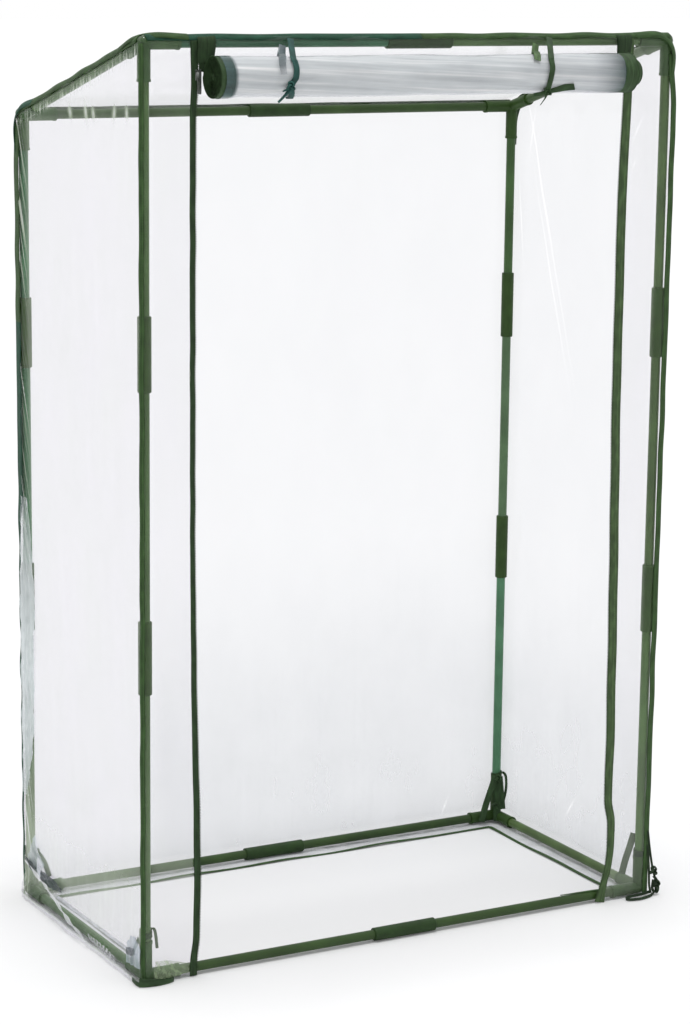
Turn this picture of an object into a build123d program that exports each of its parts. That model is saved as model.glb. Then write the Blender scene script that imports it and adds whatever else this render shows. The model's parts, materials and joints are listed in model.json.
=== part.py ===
# Tomato greenhouse: a tube frame under a clear film cover, with a film door that rolls up.
# Millimetres. The front faces -Y, +X is the viewer's right, +Z is up and the ground is z = 0.
import os
from math import acos, atan2, cos, hypot, pi, sin

from build123d import *

# Tubes of the frame
tube_od = 16.0
tube_wall = 0.6
lower_post_tube = 508.0
middle_front_post_tube = 476.0
middle_back_post_tube = 452.0
upper_front_post_tube = 456.0
upper_back_post_tube = 347.0
bar_tube = 462.0
side_tube = 448.0

# Corner connectors and couplers
hub_reach = 14.0
socket_reach = 58.0
socket_od = 20.6
hub_od = 21.4
rim_od = 22.0
rim_length = 4.0
coupler_od = 22.0
coupler_length = 118.0
coupler_stop = 4.0
coupler_stop_bore = 12.0
coupler_chamfer = 1.0
fit_gap = 0.1

# Film cover
film = 0.3
film_gap = 0.3
foot_gap = 0.2
skirt_width = 50.0
skirt_slit = 0.5
seam_width = 7.0
seam_thickness = 1.2
skirt_binding_width = 8.0
binding_thickness = 1.0
header_binding_height = 11.0
header_binding_rise = 2.0

# Doorway and its zips
doorway_half_width = 399.0
zip_tape_width = 14.0
zip_tape_overlap = 6.0
zip_inner_tape_width = 13.0
slide_gap = 0.3
slider_length = 16.0
slider_width = 10.0
slider_web = 3.0
slider_front = 2.2
slider_back = 1.6
slider_drop = 48.0
bridge_width = 3.0
bridge_height = 8.0
bridge_depth = 4.4
pull_pin_diameter = 1.8
pull_pin_gap = 0.3
pull_leg_gap = 0.3
pull_leg_width = 1.8
pull_thickness = 1.4
pull_neck = 5.5
pull_length = 29.0

# Rolled door
roll_radius = 33.0
roll_core_radius = 6.0
roll_turns = 6
roll_film = 0.6
roll_tape = 1.0
roll_tape_width = 25.0
roll_drop = 50.0
roll_gap = 0.3
roll_left_inset = 13.0
roll_right_inset = 27.0
roll_telescope = 14.0
roll_points = 24
curtain_joint = 0.3

# Ribbons
ribbon_width = 10.0
ribbon = 0.7
ribbon_gap = 0.3
left_tie_inset = 134.0
right_tie_inset = 160.0
knot_angle = 222.0
knot_width = 12.0
knot_height = 11.0
knot_depth = 6.0
knot_round = 3.0
tail_length = 24.0
tail_spread = 25.0
corner_tie_height = 64.0
corner_tie_band = 9.0
corner_tie_reach = 54.0

# Places worked out from the dimensions above
tube_radius = tube_od / 2
rim_radius = rim_od / 2
post_joints = 2 * coupler_stop + 2 * hub_reach
front_height = lower_post_tube + middle_front_post_tube + upper_front_post_tube + post_joints
back_height = lower_post_tube + middle_back_post_tube + upper_back_post_tube + post_joints
half_width = bar_tube + coupler_stop / 2 + hub_reach
depth = side_tube + 2 * hub_reach

cover_in = max(rim_radius, coupler_od / 2) + film_gap
cover_out = cover_in + film
seam_out = (seam_width + seam_thickness / 2) * cos(pi / 4)
roll_out = cover_out + binding_thickness + roll_gap + roll_radius
front_reach = roll_out + roll_radius + ribbon_gap + ribbon
back_reach = cover_out + seam_out
front_y = (front_reach - depth - back_reach) / 2
back_y = front_y + depth
front_face_y = front_y - cover_out
back_face_y = back_y + cover_out
side_face_x = half_width + cover_out
side_inner_x = half_width + cover_in

base_z = film + foot_gap + rim_radius
front_top_z = base_z + front_height
back_top_z = base_z + back_height
roof_fall = front_top_z - back_top_z
roof_length = hypot(depth, roof_fall)
roof_cos = depth / roof_length
roof_sin = roof_fall / roof_length
roof_back = (0, roof_cos, -roof_sin)
roof_front = (0, -roof_cos, roof_sin)


def roof_under(y):
    """Height of the roof film's lower face at a depth y."""
    return front_top_z + cover_in / roof_cos - (y - front_y) * roof_sin / roof_cos


film_rise = film / roof_cos
panel_top_front = roof_under(front_y - cover_in)
panel_top_back = roof_under(back_face_y)
header_high = roof_under(front_face_y) + film_rise + header_binding_rise
header_low = header_high - header_binding_height

zip_inner_x = doorway_half_width - zip_tape_width / 2
zip_outer_x = doorway_half_width + zip_tape_width / 2
panel_edge_x = zip_outer_x - zip_tape_overlap
slider_z = front_top_z - slider_drop
tape_front_y = front_face_y - binding_thickness
slider_face_y = tape_front_y - slide_gap - slider_front
slider_back_y = front_face_y + slide_gap + slider_back
slider_inner_x = zip_inner_x - slide_gap - slider_web
pull_pin_y = slider_face_y - bridge_depth / 2
pull_x = slider_inner_x + slider_width / 2
pull_width = bridge_width + 2 * (pull_leg_gap + pull_leg_width)

roll_left_end = roll_left_inset - doorway_half_width
roll_right_end = doorway_half_width - roll_right_inset
roll_y = front_y - roll_out
roll_z = front_top_z - roll_drop
roll_pitch = (roll_radius - roll_core_radius) / roll_turns
roll_half_turns = 2 * roll_turns
outer_half_turns = roll_half_turns // 2

os.makedirs("parts", exist_ok=True)


def write(piece, label):
    """Label a finished piece and write it to its own file."""
    piece.part.label = label
    export_step(piece.part, f"parts/{label}.step")


def middle_of(low, high):
    """The point halfway between two corners."""
    return tuple((a + b) / 2 for a, b in zip(low, high))


def slabs(label, corners):
    """A piece of flat boxes, each given by its lowest and highest corners."""
    with BuildPart() as piece:
        for low, high in corners:
            with Locations(middle_of(low, high)):
                Box(*[b - a for a, b in zip(low, high)])
    write(piece, label)


def across_roll(x):
    """The plane across the roll's axis at x, with its first axis towards the back."""
    return Plane(origin=(x, roll_y, roll_z), x_dir=(0, 1, 0), z_dir=(1, 0, 0))


def mirrored(side, near, far):
    """The x range between two distances from the middle, on the left (-1) or the right (1)."""
    return min(side * near, side * far), max(side * near, side * far)


# Frame tubes
def tube(label, start, direction, length):
    """A hollow tube from its start along a direction."""
    with BuildPart() as piece:
        with BuildSketch(Plane(origin=start, z_dir=direction)):
            Circle(tube_radius)
            Circle(tube_radius - tube_wall, mode=Mode.SUBTRACT)
        extrude(amount=length)
    write(piece, label)


def post(name, x, y, lengths):
    """The three tubes of one post, from the bottom connector up."""
    z = base_z + hub_reach
    for level, length in zip(("lower", "middle", "upper"), lengths):
        tube(f"{name}_post_{level}", (x, y, z), (0, 0, 1), length)
        z += length + coupler_stop


def bar(name, y, z):
    """The two tubes of one bar, each from a corner connector to the coupler in the middle."""
    tube(f"{name}_bar_left", (hub_reach - half_width, y, z), (1, 0, 0), bar_tube)
    tube(f"{name}_bar_right", (half_width - hub_reach, y, z), (-1, 0, 0), bar_tube)


front_lengths = (lower_post_tube, middle_front_post_tube, upper_front_post_tube)
back_lengths = (lower_post_tube, middle_back_post_tube, upper_back_post_tube)
for side, x in (("left", -half_width), ("right", half_width)):
    post(f"front_{side}", x, front_y, front_lengths)
    post(f"back_{side}", x, back_y, back_lengths)
    tube(f"{side}_bottom_side_tube", (x, front_y + hub_reach, base_z), (0, 1, 0), side_tube)
    roof_start = (x, front_y + hub_reach * roof_cos, front_top_z - hub_reach * roof_sin)
    tube(f"{side}_roof_side_tube", roof_start, roof_back, roof_length - 2 * hub_reach)
bar("front_top", front_y, front_top_z)
bar("front_bottom", front_y, base_z)
bar("back_top", back_y, back_top_z)
bar("back_bottom", back_y, base_z)


# Corner connectors
def connector(label, corner, directions):
    """A three-way connector: a round hub with a rimmed socket for each tube."""
    with BuildPart() as piece:
        with Locations(corner):
            Sphere(hub_od / 2)
        for direction in directions:
            socket = Plane(origin=corner, z_dir=direction)
            with BuildSketch(socket):
                Circle(socket_od / 2)
            extrude(amount=socket_reach)
            with BuildSketch(socket.offset(socket_reach - rim_length)):
                Circle(rim_radius)
            extrude(amount=rim_length)
        for direction in directions:
            with BuildSketch(Plane(origin=corner, z_dir=direction).offset(hub_reach)):
                Circle(tube_radius + fit_gap)
            extrude(amount=socket_reach, mode=Mode.SUBTRACT)
    write(piece, label)


for side, x, inward in (("left", -half_width, (1, 0, 0)), ("right", half_width, (-1, 0, 0))):
    up, down = (0, 0, 1), (0, 0, -1)
    connector(f"front_{side}_bottom_connector", (x, front_y, base_z), (inward, up, (0, 1, 0)))
    connector(f"back_{side}_bottom_connector", (x, back_y, base_z), (inward, up, (0, -1, 0)))
    connector(f"front_{side}_top_connector", (x, front_y, front_top_z), (inward, down, roof_back))
    connector(f"back_{side}_top_connector", (x, back_y, back_top_z), (inward, down, roof_front))


# Couplers
def couplers(label, places, direction):
    """Sleeves over the tube ends, each with a stop ring in the middle."""
    with BuildPart() as piece:
        for place in places:
            middle = Plane(origin=place, z_dir=direction)
            with BuildSketch(middle):
                Circle(coupler_od / 2)
                Circle(tube_radius + fit_gap, mode=Mode.SUBTRACT)
            extrude(amount=coupler_length / 2, both=True)
            with BuildSketch(middle):
                Circle(tube_radius + fit_gap)
                Circle(coupler_stop_bore / 2, mode=Mode.SUBTRACT)
            extrude(amount=coupler_stop / 2, both=True)
        ends = piece.edges().filter_by(GeomType.CIRCLE)
        rims = [edge for edge in ends if abs(edge.radius - coupler_od / 2) < fit_gap / 2]
        chamfer(rims, length=coupler_chamfer)
    write(piece, label)


def joint_heights(lengths):
    """Heights of a post's two couplers."""
    first = base_z + hub_reach + lengths[0] + coupler_stop / 2
    return first, first + lengths[1] + coupler_stop


post_places = [
    (x, y, z)
    for y, lengths in ((front_y, front_lengths), (back_y, back_lengths))
    for x in (-half_width, half_width)
    for z in joint_heights(lengths)
]
bar_places = [
    (0, y, z)
    for y, top_z in ((front_y, front_top_z), (back_y, back_top_z))
    for z in (base_z, top_z)
]
couplers("post_couplers", post_places, (0, 0, 1))
couplers("bar_couplers", bar_places, (1, 0, 0))

# Film panels of the cover
with BuildPart() as roof_panel:
    with BuildSketch(Plane.YZ):
        with BuildLine():
            Polyline(
                (front_face_y, roof_under(front_face_y)),
                (back_face_y, roof_under(back_face_y)),
                (back_face_y, roof_under(back_face_y) + film_rise),
                (front_face_y, roof_under(front_face_y) + film_rise),
                close=True,
            )
        make_face()
    extrude(amount=side_face_x, both=True)
write(roof_panel, "roof_panel")

back_low = (-side_inner_x, back_face_y - film, film)
slabs("back_panel", [(back_low, (side_inner_x, back_face_y, panel_top_back))])


def side_panel(label, inner_x, thickness):
    """A side wall of film under the sloping roof."""
    with BuildPart() as piece:
        with BuildSketch(Plane.YZ.offset(inner_x)):
            with BuildLine():
                Polyline(
                    (front_face_y, film),
                    (back_face_y, film),
                    (back_face_y, roof_under(back_face_y)),
                    (front_face_y, roof_under(front_face_y)),
                    close=True,
                )
            make_face()
        extrude(amount=thickness)
    write(piece, label)


side_panel("left_panel", -side_inner_x, -film)
side_panel("right_panel", side_inner_x, film)

for side, sign in (("left", -1), ("right", 1)):
    low_x, high_x = mirrored(sign, panel_edge_x, side_inner_x)
    low = (low_x, front_face_y, film)
    slabs(f"front_{side}_panel", [(low, (high_x, front_face_y + film, panel_top_front))])

# Ground skirt, turned inwards under the bottom tubes, and the binding on its inner edge
skirt_x = side_face_x - skirt_width
skirt_front = front_face_y + skirt_width
skirt_back = back_face_y - skirt_width
skirt_top = film + binding_thickness
skirts = [((-side_face_x, skirt_back, 0), (side_face_x, back_face_y, film))]
bindings = [((-skirt_x, skirt_back, film), (skirt_x, skirt_back + skirt_binding_width, skirt_top))]
for sign in (-1, 1):
    low_x, high_x = mirrored(sign, skirt_x, side_face_x)
    skirts.append(((low_x, front_face_y, 0), (high_x, skirt_back - skirt_slit, film)))
    low_x, high_x = mirrored(sign, panel_edge_x, skirt_x - skirt_slit)
    skirts.append(((low_x, front_face_y, 0), (high_x, skirt_front, film)))
    edge_y = skirt_front - skirt_binding_width
    bindings.append(((low_x, edge_y, film), (high_x, skirt_front, skirt_top)))
    low_x, high_x = mirrored(sign, skirt_x, skirt_x + skirt_binding_width)
    bindings.append(((low_x, skirt_front, film), (high_x, skirt_back - skirt_slit, skirt_top)))
slabs("ground_skirt", skirts)
slabs("skirt_bindings", bindings)


# Bound seams along the cover's edges
def seams(label, edges):
    """Bound seams: each a flat fin along an edge of the cover, standing out in a direction."""
    with BuildPart() as piece:
        for start, end, out in edges:
            run = (Vector(*end) - Vector(*start)).normalized()
            first = Vector(*start) + run * seam_thickness
            length = (Vector(*end) - Vector(*start)).length - 2 * seam_thickness
            across = Vector(*out).normalized()
            plane = Plane(origin=first + across * (seam_width / 2), x_dir=across, z_dir=run)
            with BuildSketch(plane):
                Rectangle(seam_width, seam_thickness)
            extrude(amount=length)
    write(piece, label)


roof_front_z = roof_under(front_face_y) + film_rise
roof_back_z = roof_under(back_face_y) + film_rise
upright_edges = []
roof_edges = [
    ((-side_face_x, back_face_y, roof_back_z), (side_face_x, back_face_y, roof_back_z), (0, 1, 1)),
]
for sign in (-1, 1):
    x = sign * side_face_x
    upright_edges.append(((x, front_face_y, film), (x, front_face_y, header_low), (sign, -1, 0)))
    upright_edges.append(((x, back_face_y, film), (x, back_face_y, roof_back_z), (sign, 1, 0)))
    side_out = (sign, roof_sin, roof_cos)
    roof_edges.append(((x, front_face_y, roof_front_z), (x, back_face_y, roof_back_z), side_out))
seams("corner_bindings", upright_edges)
seams("roof_bindings", roof_edges)
header_start = (-side_face_x, tape_front_y, header_low)
slabs("door_header_binding", [(header_start, (side_face_x, front_face_y, header_high))])

# Zip tapes: the cover's half runs to the ground, the door's half is joined to it above the slider
tape_top = header_low
tape_joined = slider_z + slider_length / 2 + slide_gap
for side, sign in (("left", -1), ("right", 1)):
    low_x, high_x = mirrored(sign, zip_inner_x, zip_outer_x)
    cover_half = ((low_x, tape_front_y, film), (high_x, front_face_y, tape_top))
    low_x, high_x = mirrored(sign, zip_inner_x - zip_inner_tape_width, zip_inner_x)
    door_half = ((low_x, tape_front_y, tape_joined), (high_x, front_face_y, tape_top))
    slabs(f"{side}_zip_tape", [cover_half, door_half])


# Zip sliders and their pulls
def zip_slider(label, sign):
    """A slider whose front and back plates run on either side of the tape."""
    low_x, high_x = mirrored(sign, slider_inner_x, slider_inner_x + slider_width)
    web_low, web_high = mirrored(sign, slider_inner_x, slider_inner_x + slider_web)
    low_z = slider_z - slider_length / 2
    high_z = slider_z + slider_length / 2
    plates = (
        ((low_x, slider_face_y, low_z), (high_x, slider_face_y + slider_front, high_z)),
        ((low_x, slider_back_y - slider_back, low_z), (high_x, slider_back_y, high_z)),
        ((web_low, slider_face_y, low_z), (web_high, slider_back_y, high_z)),
    )
    with BuildPart() as piece:
        for low, high in plates:
            with Locations(middle_of(low, high)):
                Box(*[b - a for a, b in zip(low, high)])
        with Locations((sign * pull_x, pull_pin_y, slider_z)):
            Box(bridge_width, bridge_depth, bridge_height)
            Cylinder(
                pull_pin_diameter / 2 + pull_pin_gap,
                slider_width,
                rotation=(0, 90, 0),
                mode=Mode.SUBTRACT,
            )
    write(piece, label)


def zip_pull(label, sign):
    """A pull tab that hangs from the slider's bridge by a round pin between two legs."""
    leg_x = bridge_width / 2 + pull_leg_gap + pull_leg_width / 2
    leg_z = slider_z - pull_neck / 2
    blade_length = pull_length - pull_neck
    with BuildPart() as piece:
        with Locations((sign * pull_x, pull_pin_y, slider_z)):
            Cylinder(pull_pin_diameter / 2, pull_width, rotation=(0, 90, 0))
        for x in (sign * pull_x - leg_x, sign * pull_x + leg_x):
            with Locations((x, pull_pin_y, leg_z)):
                Box(pull_leg_width, pull_thickness, pull_neck)
        with Locations((sign * pull_x, pull_pin_y, slider_z - pull_neck - blade_length / 2)):
            Box(pull_width, pull_thickness, blade_length)
        low_edges = piece.edges().filter_by(Axis.Y).sort_by(Axis.Z)[:2]
        fillet(low_edges, radius=pull_width / 4)
    write(piece, label)


for side, sign in (("left", -1), ("right", 1)):
    zip_slider(f"{side}_zip_slider", sign)
    zip_pull(f"{side}_zip_pull", sign)


# Rolled door
def on_half_turn(index, inset, share):
    """A point on a half turn of the roll, counted from the tail inwards, from its start to its end."""
    side = 1 if index % 2 == 0 else -1
    centre = 0 if side == 1 else -roll_pitch / 2
    radius = roll_radius - index * roll_pitch / 2 - inset
    return centre + side * radius * cos(share * pi), -side * radius * sin(share * pi)


def rolled_band(label, spans, thickness):
    """Turns of a sheet wound round the roll's axis, each span with its own ends along x."""
    with BuildPart() as piece:
        for first, last, left, right in spans:
            with BuildSketch(across_roll(left)):
                with BuildLine():
                    for inset in (0, thickness):
                        for index in range(first, last):
                            ThreePointArc(*[on_half_turn(index, inset, share) for share in (0, 0.5, 1)])
                    Line(on_half_turn(first, 0, 0), on_half_turn(first, thickness, 0))
                    Line(on_half_turn(last - 1, 0, 1), on_half_turn(last - 1, thickness, 1))
                make_face()
            extrude(amount=right - left)
    write(piece, label)


def least_gap(thickness):
    """Least gap between a turn's inner face and the turns inside it, measured on points."""
    faces = [
        [
            on_half_turn(index, inset, point / roll_points)
            for index in range(roll_half_turns)
            for point in range(roll_points)
        ]
        for inset in (0, thickness)
    ]
    outer, inner = faces
    return min(
        hypot(a[0] - b[0], a[1] - b[1])
        for start, a in enumerate(inner)
        for b in outer[start + roll_points:]
    )


left_film = roll_left_end + roll_tape_width
right_film = roll_right_end - roll_tape_width
rolled_band(
    "door_roll",
    [
        (0, outer_half_turns, left_film, right_film),
        (outer_half_turns, roll_half_turns, left_film, right_film + roll_telescope),
    ],
    roll_film,
)
rolled_band("left_roll_end", [(0, roll_half_turns, roll_left_end, left_film)], roll_tape)
rolled_band(
    "right_roll_end",
    [
        (0, outer_half_turns, right_film, roll_right_end),
        (outer_half_turns, roll_half_turns, right_film + roll_telescope, roll_right_end + roll_telescope),
    ],
    roll_tape,
)
print(f"door roll: {roll_turns} turns, least gap between turns {least_gap(roll_tape):.2f} mm")

# Stretch of the door that hangs from the header to the roll
curtain_back = roll_y + roll_radius
curtain_low = (roll_left_end, curtain_back - film, roll_z + curtain_joint)
slabs("door_curtain", [(curtain_low, (roll_right_end, curtain_back, header_high))])


# Ribbons that hold the roll up
def polar(radius, angle):
    """A point round the roll's axis, with angles from the back, over the top, to the front."""
    return radius * cos(angle), radius * sin(angle)


def door_tie(label, x):
    """A ribbon from the header over the front of the roll, under it and up behind the curtain."""
    inner = roll_radius + ribbon_gap
    outer = inner + ribbon
    top = header_low - ribbon_gap - roll_z
    anchor = (roll_radius - film - ribbon_gap, header_high - ribbon_gap - roll_z)
    reach = hypot(*anchor)
    touch = atan2(anchor[1], anchor[0]) + acos(inner / reach)
    run = (reach**2 - inner**2) ** 0.5
    slope = (sin(touch) * run, -cos(touch) * run)
    ends = [tuple(a + b for a, b in zip(polar(radius, touch), slope)) for radius in (inner, outer)]
    low = (touch + 2 * pi) / 2
    knot = polar(inner + knot_depth / 2, knot_angle * pi / 180)
    with BuildPart() as piece:
        with BuildSketch(across_roll(x)):
            with BuildLine():
                Line(ends[0], ends[1])
                for end, radius in zip(ends, (inner, outer)):
                    Line(end, polar(radius, touch))
                    turn = [touch + (low - touch) * share for share in (0, 0.5, 1)]
                    ThreePointArc(*[polar(radius, angle) for angle in turn])
                    turn = [low + (2 * pi - low) * share for share in (0, 0.5, 1)]
                    ThreePointArc(*[polar(radius, angle) for angle in turn])
                    Line((radius, 0), (radius, top))
                Line((inner, top), (outer, top))
            make_face()
        extrude(amount=ribbon_width / 2, both=True)
        knot_place = (x, roll_y + knot[0], roll_z + knot[1])
        outward = (0, *polar(1, knot_angle * pi / 180))
        with BuildSketch(Plane(origin=knot_place, x_dir=(1, 0, 0), z_dir=outward)):
            RectangleRounded(knot_width, knot_height, knot_round)
        extrude(amount=knot_depth / 2, both=True)
        for sign in (-1, 1):
            tail = Location(knot_place, (0, sign * tail_spread, 0))
            with Locations(tail):
                Box(ribbon_width, ribbon, tail_length, align=(Align.CENTER, Align.CENTER, Align.MAX))
    write(piece, label)


door_tie("left_door_tie", roll_left_end + left_tie_inset)
door_tie("right_door_tie", roll_right_end - right_tie_inset)

# Ribbons that tie the cover's bottom corners to the posts
band_in = tube_radius + ribbon_gap
band_out = band_in + ribbon
tie_low = corner_tie_height
tie_high = corner_tie_height + corner_tie_band
strap_foot = rim_radius + foot_gap
with BuildPart() as corner_ties:
    for sign_x in (-1, 1):
        for sign_y, y in ((-1, front_y), (1, back_y)):
            corner = Plane(origin=(sign_x * half_width, y, base_z))
            with BuildSketch(corner.offset(tie_low)):
                Circle(band_out)
                Circle(band_in, mode=Mode.SUBTRACT)
            extrude(amount=corner_tie_band)
            for across in ((-sign_x, 0, 0), (0, -sign_y, 0)):
                beside = Vector(*across).cross(Vector(0, 0, 1))
                with BuildSketch(Plane(origin=corner.origin, x_dir=across, z_dir=beside)):
                    with BuildLine():
                        Polyline(
                            (band_in + ribbon / 2, tie_low),
                            (corner_tie_reach, strap_foot),
                            (corner_tie_reach + corner_tie_band, strap_foot),
                            (band_in + ribbon / 2, tie_high),
                            close=True,
                        )
                    make_face()
                extrude(amount=ribbon / 2, both=True)
write(corner_ties, "corner_ties")
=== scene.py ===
import json
from math import cos, pi, radians, sin

import bpy
import numpy as np
from mathutils import Matrix, Vector


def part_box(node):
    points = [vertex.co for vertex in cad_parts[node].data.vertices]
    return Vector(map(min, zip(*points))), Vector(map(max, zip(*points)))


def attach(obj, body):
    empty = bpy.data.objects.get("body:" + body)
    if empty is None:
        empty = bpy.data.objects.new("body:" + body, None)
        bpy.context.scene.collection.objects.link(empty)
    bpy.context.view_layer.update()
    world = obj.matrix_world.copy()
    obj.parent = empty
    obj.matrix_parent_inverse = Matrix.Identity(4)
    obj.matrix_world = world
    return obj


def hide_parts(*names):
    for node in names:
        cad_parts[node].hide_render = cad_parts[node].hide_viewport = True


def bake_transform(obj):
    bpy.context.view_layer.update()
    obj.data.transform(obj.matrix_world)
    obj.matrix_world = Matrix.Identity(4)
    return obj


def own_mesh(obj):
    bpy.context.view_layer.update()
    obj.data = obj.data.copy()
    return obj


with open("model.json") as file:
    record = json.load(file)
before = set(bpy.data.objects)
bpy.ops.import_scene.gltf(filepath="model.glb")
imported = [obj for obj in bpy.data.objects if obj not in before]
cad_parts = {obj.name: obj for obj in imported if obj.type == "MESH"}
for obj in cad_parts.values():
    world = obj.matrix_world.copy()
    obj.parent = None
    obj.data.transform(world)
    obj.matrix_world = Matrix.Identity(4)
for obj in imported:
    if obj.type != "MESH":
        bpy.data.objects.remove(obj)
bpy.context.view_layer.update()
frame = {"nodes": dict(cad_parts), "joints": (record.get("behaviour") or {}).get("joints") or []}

nodes = frame["nodes"]
COVER = "frame_and_cover"
MM = 0.001


# Places read from the frame (metres; the front faces -Y and +X is the viewer's right)
def centre_of(name):
    """Middle of a CAD node's box."""
    low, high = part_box(name)
    return (low + high) / 2


POST_X = centre_of("front_right_post_lower").x
FRONT_Y = centre_of("front_right_post_lower").y
BACK_Y = centre_of("back_right_post_lower").y
BASE_Z = centre_of("front_bottom_bar_left").z
FRONT_TOP = centre_of("front_top_bar_left").z
BACK_TOP = centre_of("back_top_bar_left").z
DEPTH = BACK_Y - FRONT_Y
WRAP = FRONT_Y - centre_of("front_left_panel").y
FILM_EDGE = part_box("front_right_panel")[0].x
ZIP_LINE = centre_of("right_zip_tape").x
TAPE_Y = centre_of("right_zip_tape").y
ROLL_Y, ROLL_Z = next(joint for joint in frame["joints"] if joint["name"] == "door_roll_spin")["pos_m"][1:]
ROLL_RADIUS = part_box("left_roll_end")[1].y - ROLL_Y
ROLL_LEFT, ROLL_RIGHT = (corner.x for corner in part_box("door_curtain"))
ROLL_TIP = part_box("right_roll_end")[1].x
ROLL_FILM_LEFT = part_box("left_roll_end")[1].x
ROLL_FILM_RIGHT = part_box("right_roll_end")[0].x
CURTAIN_Y = centre_of("door_curtain").y
HEM_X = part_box("skirt_bindings")[1].x
HEM_FRONT, HEM_BACK = (corner.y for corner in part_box("skirt_bindings"))
GROUND = 0.0004

# Tube axes at the corners, by side (-1 left, 1 right) and end (-1 front, 1 back)
TOPS = {
    (side, end): (side * POST_X, FRONT_Y if end < 0 else BACK_Y, FRONT_TOP if end < 0 else BACK_TOP)
    for side in (-1, 1) for end in (-1, 1)
}
FEET = {corner: (x, y, GROUND) for corner, (x, y, z) in TOPS.items()}

# The cover's faces, as unit vectors that point out of it
LEFTWARD, RIGHTWARD = np.array([-1.0, 0, 0]), np.array([1.0, 0, 0])
FORWARD, BACKWARD = np.array([0, -1.0, 0]), np.array([0, 1.0, 0])
UP, DOWNWARD = np.array([0, 0, 1.0]), np.array([0, 0, -1.0])
roof_fall = FRONT_TOP - BACK_TOP
ROOFWARD = np.array([0, roof_fall, DEPTH]) / (roof_fall**2 + DEPTH**2) ** 0.5


# Meshes
RIPPLES = 5


def mesh_object(name, points, faces, uvs, veil=None):
    """A smooth mesh object; each point has a UV pair in metres and, for film, a share of haze."""
    mesh = bpy.data.meshes.new(name)
    mesh.from_pydata(points.reshape(-1, 3).tolist(), [], faces)
    corners = np.zeros(len(mesh.loops), int)
    mesh.loops.foreach_get("vertex_index", corners)
    layer = mesh.uv_layers.new(name="strip")
    layer.data.foreach_set("uv", uvs.reshape(-1, 2)[corners].ravel())
    mesh.polygons.foreach_set("use_smooth", [True] * len(mesh.polygons))
    if veil is not None:
        haze = mesh.attributes.new("veil", "FLOAT", "POINT")
        haze.data.foreach_set("value", np.asarray(veil, np.float32).ravel())
    mesh.update()
    made = bpy.data.objects.new(name, mesh)
    bpy.context.scene.collection.objects.link(made)
    return made


def grid_faces(rows, columns, wrap=False):
    """Quads of a grid of points, row by row; wrap joins the last column to the first."""
    here = np.arange(rows * columns).reshape(rows, columns)
    after = np.roll(here, -1, axis=1)
    quads = np.stack([here[:-1], after[:-1], after[1:], here[1:]], axis=-1)
    return (quads if wrap else quads[:, :-1]).reshape(-1, 4).tolist()


def grid(name, points, uvs, veil):
    """A sheet of film from an array of rows of points."""
    return mesh_object(name, points, grid_faces(*points.shape[:2]), uvs, veil)


def unit(vectors):
    """Vectors scaled to length one."""
    vectors = np.asarray(vectors, float)
    return vectors / np.linalg.norm(vectors, axis=-1, keepdims=True)


def lengths_along(path):
    """Distance of each point of a path from its start."""
    steps = np.linalg.norm(np.diff(path, axis=0), axis=1)
    return np.concatenate([[0], np.cumsum(steps)])


def smooth(points, count):
    """A smooth path through given points (Catmull-Rom), with an even count of points."""
    points = np.asarray(points, float)
    padded = np.vstack([2 * points[0] - points[1], points, 2 * points[-1] - points[-2]])
    places = np.linspace(0, len(points) - 1 - 1e-9, count)
    spans = places.astype(int)
    t = (places - spans)[:, None]
    a, b, c, d = (padded[spans + shift] for shift in range(4))
    return 0.5 * (2 * b + (c - a) * t + (2 * a - 5 * b + 4 * c - d) * t**2 + (3 * b - a - 3 * c + d) * t**3)


def spread_out(values, count):
    """A count of values that run evenly through a few given ones."""
    return np.interp(np.linspace(0, 1, count), np.linspace(0, 1, len(values)), values)


def directions(path, across):
    """A path's directions across and out of its face at each point, from one rough direction across."""
    tangent = unit(np.gradient(path, axis=0))
    across = np.broadcast_to(np.asarray(across, float), path.shape)
    across = unit(across - tangent * np.sum(across * tangent, axis=1, keepdims=True))
    return across, np.cross(across, tangent)


def tape_profile(width, thickness, bend=None):
    """Section of a tape with soft edges, as (across, out of the face) pairs, flat or bent to a radius."""
    across = np.linspace(-0.5, 0.5, 7) * width
    lift = thickness / 2 * (1 - 0.7 * np.abs(2 * across / width) ** 6)
    profile = np.concatenate([np.stack([across, lift], axis=-1), np.stack([across, -lift], axis=-1)[::-1]])
    if bend:
        angle, radius = profile[:, 0] / bend, bend + profile[:, 1]
        profile = np.stack([radius * np.sin(angle), radius * np.cos(angle) - bend], axis=-1)
    return profile


def sweep(path, across, profile, widths=None):
    """Points, faces and UVs of a closed profile carried along a path; across is the profile's first axis."""
    path = np.asarray(path, float)
    across, facing = directions(path, across)
    widths = np.ones(len(path)) if widths is None else widths
    sideways = profile[None, :, 0] * widths[:, None]
    points = path[:, None] + across[:, None] * sideways[..., None] + facing[:, None] * profile[None, :, 1:]
    count = len(profile)
    faces = grid_faces(len(path), count, wrap=True)
    faces.append(tuple(range(count))[::-1])
    faces.append(tuple(range((len(path) - 1) * count, len(path) * count)))
    along = np.repeat(lengths_along(path)[:, None], count, axis=1)
    return points.reshape(-1, 3), faces, np.stack([along, sideways], axis=-1).reshape(-1, 2)


def joined(name, pieces, veil=None):
    """One object from several (points, faces, UVs) pieces."""
    faces, count = [], 0
    for points, piece_faces, _ in pieces:
        faces += [tuple(corner + count for corner in face) for face in piece_faces]
        count += len(points)
    points, uvs = (np.concatenate([piece[part] for piece in pieces]) for part in (0, 2))
    return mesh_object(name, points, faces, uvs, None if veil is None else np.broadcast_to(veil, count))


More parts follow.
